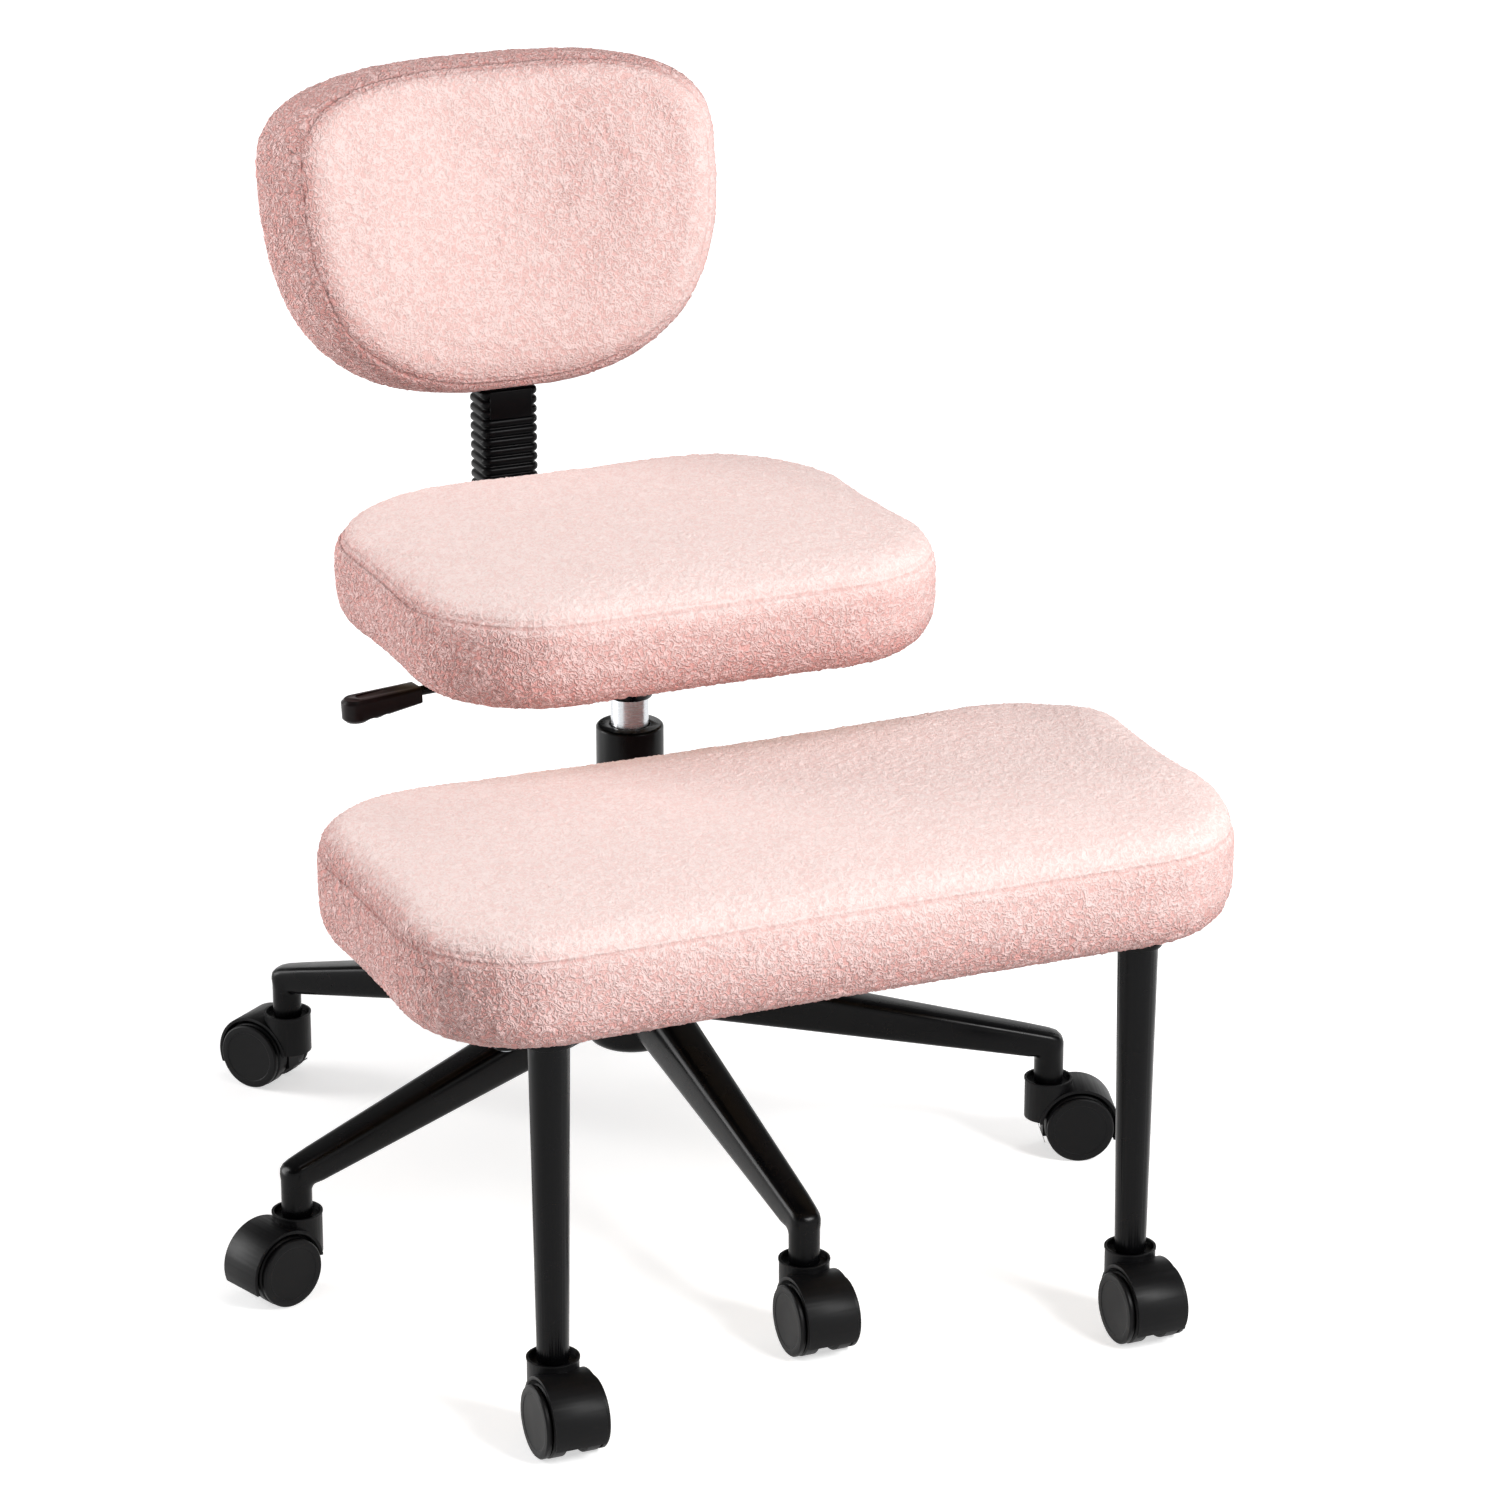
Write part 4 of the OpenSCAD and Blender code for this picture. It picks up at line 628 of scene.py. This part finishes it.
def makeStarBase():
    # A turned hub and one arm swept through its stations, then the arm set round the hub
    bm = turned([(hubRule["boreR"], hubRule["bottomZ"]), (hubRule["r"], hubRule["bottomZ"]),
                 (hubRule["r"], hubRule["topZ"]), (hubRule["boreR"], hubRule["topZ"])],
                {1: hubRule["bottomRound"], 2: hubRule["topRound"]}, hubRule["steps"], hubRule["roundSteps"])
    rule = armRule
    arm = bmesh.new()
    loops = []
    for k in range(rule["stations"]):
        f = k / (rule["stations"] - 1)
        reach = rule["rootReach"] + f * (rule["tipReach"] - rule["rootReach"])
        top = rule["rootTopZ"] + f * (rule["tipTopZ"] - rule["rootTopZ"])
        depth = rule["rootDepth"] + f * (rule["tipDepth"] - rule["rootDepth"])
        width = rule["rootWidth"] + f * (rule["tipWidth"] - rule["rootWidth"])
        loops.append(sectionLoop(arm, (reach, top), (reach, top - depth), width, rule["squareness"]))
    for k, (outer, inner) in enumerate(rule["elbow"]):
        power = rule["squareness"] + (rule["ellipse"] - rule["squareness"]) * (k + 1) / len(rule["elbow"])
        loops.append(sectionLoop(arm, outer, inner, rule["elbowWidth"], power))
    half = rule["postD"] / 2
    outer, inner = ((rule["reach"] + out, rule["postEndZ"]) for out in (half, -half))
    loops.append(sectionLoop(arm, outer, inner, rule["postD"], rule["ellipse"]))
    bridgeLoops(arm, loops)
    bmesh.ops.recalc_face_normals(arm, faces=arm.faces)
    armMesh = bpy.data.meshes.new("arm")
    arm.to_mesh(armMesh)
    arm.free()
    for k in range(rule["count"]):
        before = len(bm.verts)
        bm.from_mesh(armMesh)
        bm.verts.ensure_lookup_table()
        bmesh.ops.rotate(bm, verts=bm.verts[before:], cent=(0, 0, 0),
                         matrix=Matrix.Rotation(2 * math.pi * k / rule["count"], 3, "Z"))
    piece = newPiece("starBase", bm, "powder_coated_steel")
    edges = piece.modifiers.new("broken edges", "BEVEL")
    edges.width = rule["edge"] * mm
    edges.segments = rule["edgeSteps"]
    edges.limit_method = "ANGLE"
    edges.angle_limit = math.radians(rule["edgeAngle"])
    edges.harden_normals = True
    applyModifiers(piece)
    fitPiece(piece, "base", "powder_coated_steel", "star_base")


makeStarBase()
print("star base ready")


# Casters: the hood and both wheels of each, with broken edges

casterRule = {
    "names": ("front", "left", "rear_left", "rear_right", "right", "bench_right", "bench_left"),
    "hoodEdge": 0.45, "wheelEdge": 0.35,
}
for casterName in casterRule["names"]:
    softenedCopy(casterName + "_hood", casterName + "Hood", casterRule["hoodEdge"], casterName + "_caster",
                 "black_nylon")
    for side in "ab":
        softenedCopy(casterName + "_wheel_" + side, casterName + "Wheel" + side.upper(),
                     casterRule["wheelEdge"], casterName + "_roller_" + side, "black_nylon")
print("casters ready")


# Steel parts, levers and boards, each with its own broken edge in mm

edgeRules = (
    ("outer_tube", "outerTube", 0.7, "base", "powder_coated_steel"),
    ("pressure_tube", "pressureTube", 0.4, "seat", "bright_steel"),
    ("seat_mechanism", "seatMechanism", 0.5, "seat", "powder_coated_steel"),
    ("back_bar", "backBar", 0.9, "back_bar", "powder_coated_steel"),
    ("bench_frame", "benchFrame", 0.8, "bench", "powder_coated_steel"),
    ("bench_leg_right", "benchLegRight", 0.6, "bench", "powder_coated_steel"),
    ("bench_leg_left", "benchLegLeft", 0.6, "bench", "powder_coated_steel"),
    ("lever_rod", "leverRod", 0.3, "lever", "powder_coated_steel"),
    ("lever_handle", "leverHandle", 1.1, "lever", "lever_plastic"),
    ("clamp_knob", "clampKnob", 0.6, "knob", "black_nylon"),
    ("seat_board", "seatBoard", 0.8, "seat", "birch_plywood"),
    ("bench_board", "benchBoard", 0.8, "bench", "birch_plywood"),
    ("bench_bush", "benchBush", 0.4, "bench", "natural_acetal"),
)
for node, name, width, body, slot in edgeRules:
    softenedCopy(node, name, width, body, slot)
print("steel parts ready")


# Bellows over the back bar: rounded ribs on a thin soft wall, with a smooth panel in front near the top

# mm
bellowsRule = {
    "middleY": 250, "bottomZ": 449.3, "topZ": 555.7, "width": 46, "depth": 34, "cornerR": 7,
    "around": 48,                      # points round a rib
    "ribs": 13, "ribDepth": 2.6, "cuff": 4,
    "share": 0.8,                      # of a rib's pitch, and the rest is the groove
    "ribSteps": (0, 0.06, 0.18, 0.34, 0.5, 0.66, 0.82, 0.94, 1),
    "ribPower": 2.6,                   # 2 is a round rib, more is flatter on top
    "panelWidth": 34, "panelHeight": 22, "panelDrop": 5, "panelProud": 0.2, "panelEdge": 0.6,
}


def roundedLoop(bm, width, depth, corner, y, z):
    # Closed loop round a rectangle with round corners
    halfStep = Matrix.Rotation(math.pi / bellowsRule["around"], 4, "Z")
    loop = bmesh.ops.create_circle(bm, segments=bellowsRule["around"], radius=1, matrix=halfStep)["verts"]
    for v in loop:
        c, s = v.co.x, v.co.y
        v.co = Vector((math.copysign(width / 2 - corner, c) + corner * c,
                       y + math.copysign(depth / 2 - corner, s) + corner * s, z)) * mm
    return loop


def makeBellows():
    # Each level is a height and how far it lies in from the ribs' tops
    rule = bellowsRule
    bm = bmesh.new()
    levels = [(rule["bottomZ"], rule["ribDepth"]), (rule["bottomZ"] + rule["cuff"], rule["ribDepth"])]
    step = (rule["topZ"] - rule["bottomZ"] - 2 * rule["cuff"]) / rule["ribs"]
    for k in range(rule["ribs"]):
        start = rule["bottomZ"] + rule["cuff"] + (k + (1 - rule["share"]) / 2) * step
        for f in rule["ribSteps"]:
            swell = (1 - abs(2 * f - 1) ** rule["ribPower"]) ** 0.5
            levels.append((start + f * rule["share"] * step, rule["ribDepth"] * (1 - swell)))
    levels += [(rule["topZ"] - rule["cuff"], rule["ribDepth"]), (rule["topZ"], rule["ribDepth"])]
    loops = [roundedLoop(bm, rule["width"] - 2 * inset, rule["depth"] - 2 * inset, rule["cornerR"] - inset,
                         rule["middleY"], z) for z, inset in levels]
    bridgeLoops(bm, loops)
    panel = bmesh.ops.create_cube(bm, size=1)["verts"]
    thick = rule["ribDepth"] + rule["panelProud"]
    bmesh.ops.scale(bm, verts=panel, vec=(rule["panelWidth"] * mm, thick * mm, rule["panelHeight"] * mm))
    bmesh.ops.translate(bm, verts=panel, vec=Vector((
        0, rule["middleY"] - rule["depth"] / 2 - rule["panelProud"] + thick / 2,
        rule["topZ"] - rule["panelDrop"] - rule["panelHeight"] / 2)) * mm)
    edges = list({e for v in panel for e in v.link_edges})
    bmesh.ops.bevel(bm, geom=edges, offset=rule["panelEdge"] * mm, segments=edgeSteps, profile=0.5,
                    affect="EDGES", material=-1)
    bmesh.ops.recalc_face_normals(bm, faces=bm.faces)
    piece = newPiece("bellowsSleeve", bm, "bellows_plastic")
    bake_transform(piece)
    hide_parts("bellows")


makeBellows()
print("bellows ready")


# Floor, camera and light

# place in metres, tilt and turn in degrees, lens and sensor in mm
cameraRule = {"place": (-1.4459, -3.5325, 1.722), "tilt": 70.05, "turn": -23.59, "lens": 132, "sensor": 36}
lampRules = {
    # azimuth from the front to the right, elevation, distance and size in metres, watts; all aim at lampAim
    "keyLamp": {"azimuth": 25, "elevation": 33, "distance": 4.3, "size": (1.1, 1.1), "power": 154},
    "topLamp": {"azimuth": 0, "elevation": 86, "distance": 3.2, "size": (1.3, 1.3), "power": 13},
    "leftPanel": {"azimuth": -124, "elevation": 12, "distance": 3.4, "size": (1.2, 2.4), "power": 97},
    "rightStrip": {"azimuth": 104, "elevation": 20, "distance": 3.4, "size": (0.5, 2.4), "power": 18},
}
lampAim = (0, -0.1, 0.4)
worldLevel = 0.2
# metres. join: how near points are merged
# lift: how much whiter the sweep looks than it lights the object, near the object and far from it
sweepRule = {"radius": 9, "height": 3.2, "bend": 1.6, "bendSteps": 8, "steps": 96, "join": 1e-5,
             "color": "#e2e2e2", "lift": 0.6, "farLift": 1.0, "near": 1.0, "far": 3.5}


def seenRays(tree):
    # 1 for rays that show the background to the camera, straight, mirrored or through glass
    path = addNode(tree, "ShaderNodeLightPath")
    straight = addNode(tree, "ShaderNodeMath", {"operation": "MAXIMUM"},
                       links={0: path.outputs["Is Camera Ray"], 1: path.outputs["Is Transmission Ray"]})
    return addNode(tree, "ShaderNodeMath", {"operation": "MAXIMUM"},
                   links={0: straight.outputs[0], 1: path.outputs["Is Glossy Ray"]}).outputs[0]


def makeSweep(rule):
    # White paper that rises all round in one bend
    bm = bmesh.new()
    profile = [bm.verts.new((0, 0, 0))]
    for k in range(rule["bendSteps"] + 1):
        a = math.pi / 2 * k / rule["bendSteps"]
        profile.append(bm.verts.new((rule["radius"] - rule["bend"] * (1 - math.sin(a)), 0,
                                     rule["bend"] * (1 - math.cos(a)))))
    profile.append(bm.verts.new((rule["radius"], 0, rule["height"])))
    edges = [bm.edges.new(pair) for pair in zip(profile, profile[1:])]
    bmesh.ops.spin(bm, geom=profile + edges, cent=(0, 0, 0), axis=(0, 0, 1), angle=2 * math.pi,
                   steps=rule["steps"], use_merge=True)
    bmesh.ops.remove_doubles(bm, verts=bm.verts, dist=rule["join"])
    bmesh.ops.recalc_face_normals(bm, faces=bm.faces)
    mesh = bpy.data.meshes.new("sweep")
    bm.to_mesh(mesh)
    bm.free()
    mesh.polygons.foreach_set("use_smooth", [True] * len(mesh.polygons))
    sweep = bpy.data.objects.new("sweep", mesh)
    bpy.context.scene.collection.objects.link(sweep)
    material, tree = newMaterial("paper sweep, white")
    paper = addNode(tree, "ShaderNodeBsdfDiffuse", inputs={"Color": hexColor(rule["color"])})
    distance = addNode(tree, "ShaderNodeVectorMath", {"operation": "LENGTH"}, links={0: objectPoint(tree)})
    rise = addNode(tree, "ShaderNodeMapRange", inputs={
        "From Min": rule["near"], "From Max": rule["far"], "To Min": rule["lift"], "To Max": rule["farLift"]},
        links={"Value": distance.outputs["Value"]})
    lift = addNode(tree, "ShaderNodeMath", {"operation": "MULTIPLY"},
                   links={0: seenRays(tree), 1: rise.outputs[0]})
    glow = addNode(tree, "ShaderNodeEmission", links={"Strength": lift.outputs[0]})
    shader = addNode(tree, "ShaderNodeAddShader")
    tree.links.new(paper.outputs[0], shader.inputs[0])
    tree.links.new(glow.outputs[0], shader.inputs[1])
    finishMaterial(tree, shader)
    mesh.materials.append(material)


def placeCamera(rule):
    camera = bpy.data.objects.new("photo camera", bpy.data.cameras.new("photo camera"))
    bpy.context.scene.collection.objects.link(camera)
    camera.location = rule["place"]
    camera.rotation_euler = (math.radians(rule["tilt"]), 0, math.radians(rule["turn"]))
    camera.data.lens = rule["lens"]
    camera.data.sensor_width = rule["sensor"]
    bpy.context.scene.camera = camera


def lightStage():
    # Each lamp is a panel that looks at the chair's middle
    for name, rule in lampRules.items():
        lamp = bpy.data.objects.new(name, bpy.data.lights.new(name, "AREA"))
        bpy.context.scene.collection.objects.link(lamp)
        lamp.data.shape = "RECTANGLE"
        lamp.data.size, lamp.data.size_y = rule["size"]
        lamp.data.energy = rule["power"]
        azimuth, elevation = math.radians(rule["azimuth"]), math.radians(rule["elevation"])
        away = Vector((math.sin(azimuth) * math.cos(elevation), -math.cos(azimuth) * math.cos(elevation),
                       math.sin(elevation)))
        lamp.location = Vector(lampAim) + away * rule["distance"]
        lamp.rotation_euler = away.to_track_quat("Z", "Y").to_euler()
    world = bpy.data.worlds.new("studio")
    bpy.context.scene.world = world
    world.use_nodes = True
    tree = world.node_tree
    tree.nodes.clear()
    sky = addNode(tree, "ShaderNodeBackground", inputs={"Color": (1, 1, 1, 1), "Strength": worldLevel})
    addNode(tree, "ShaderNodeOutputWorld", links={"Surface": sky.outputs[0]})
    bpy.context.scene.view_settings.view_transform = "Standard"


makeSweep(sweepRule)
placeCamera(cameraRule)
lightStage()
print("stage ready")


# Every CAD part that still shows gets the finish of its slot
slotOf = {part["node"]: part["material_slot"] for part in frame["record"]["subparts"]}
for nodeName, part in frame["nodes"].items():
    part.data.materials.clear()
    part.data.materials.append(finishes[slotOf[nodeName]])
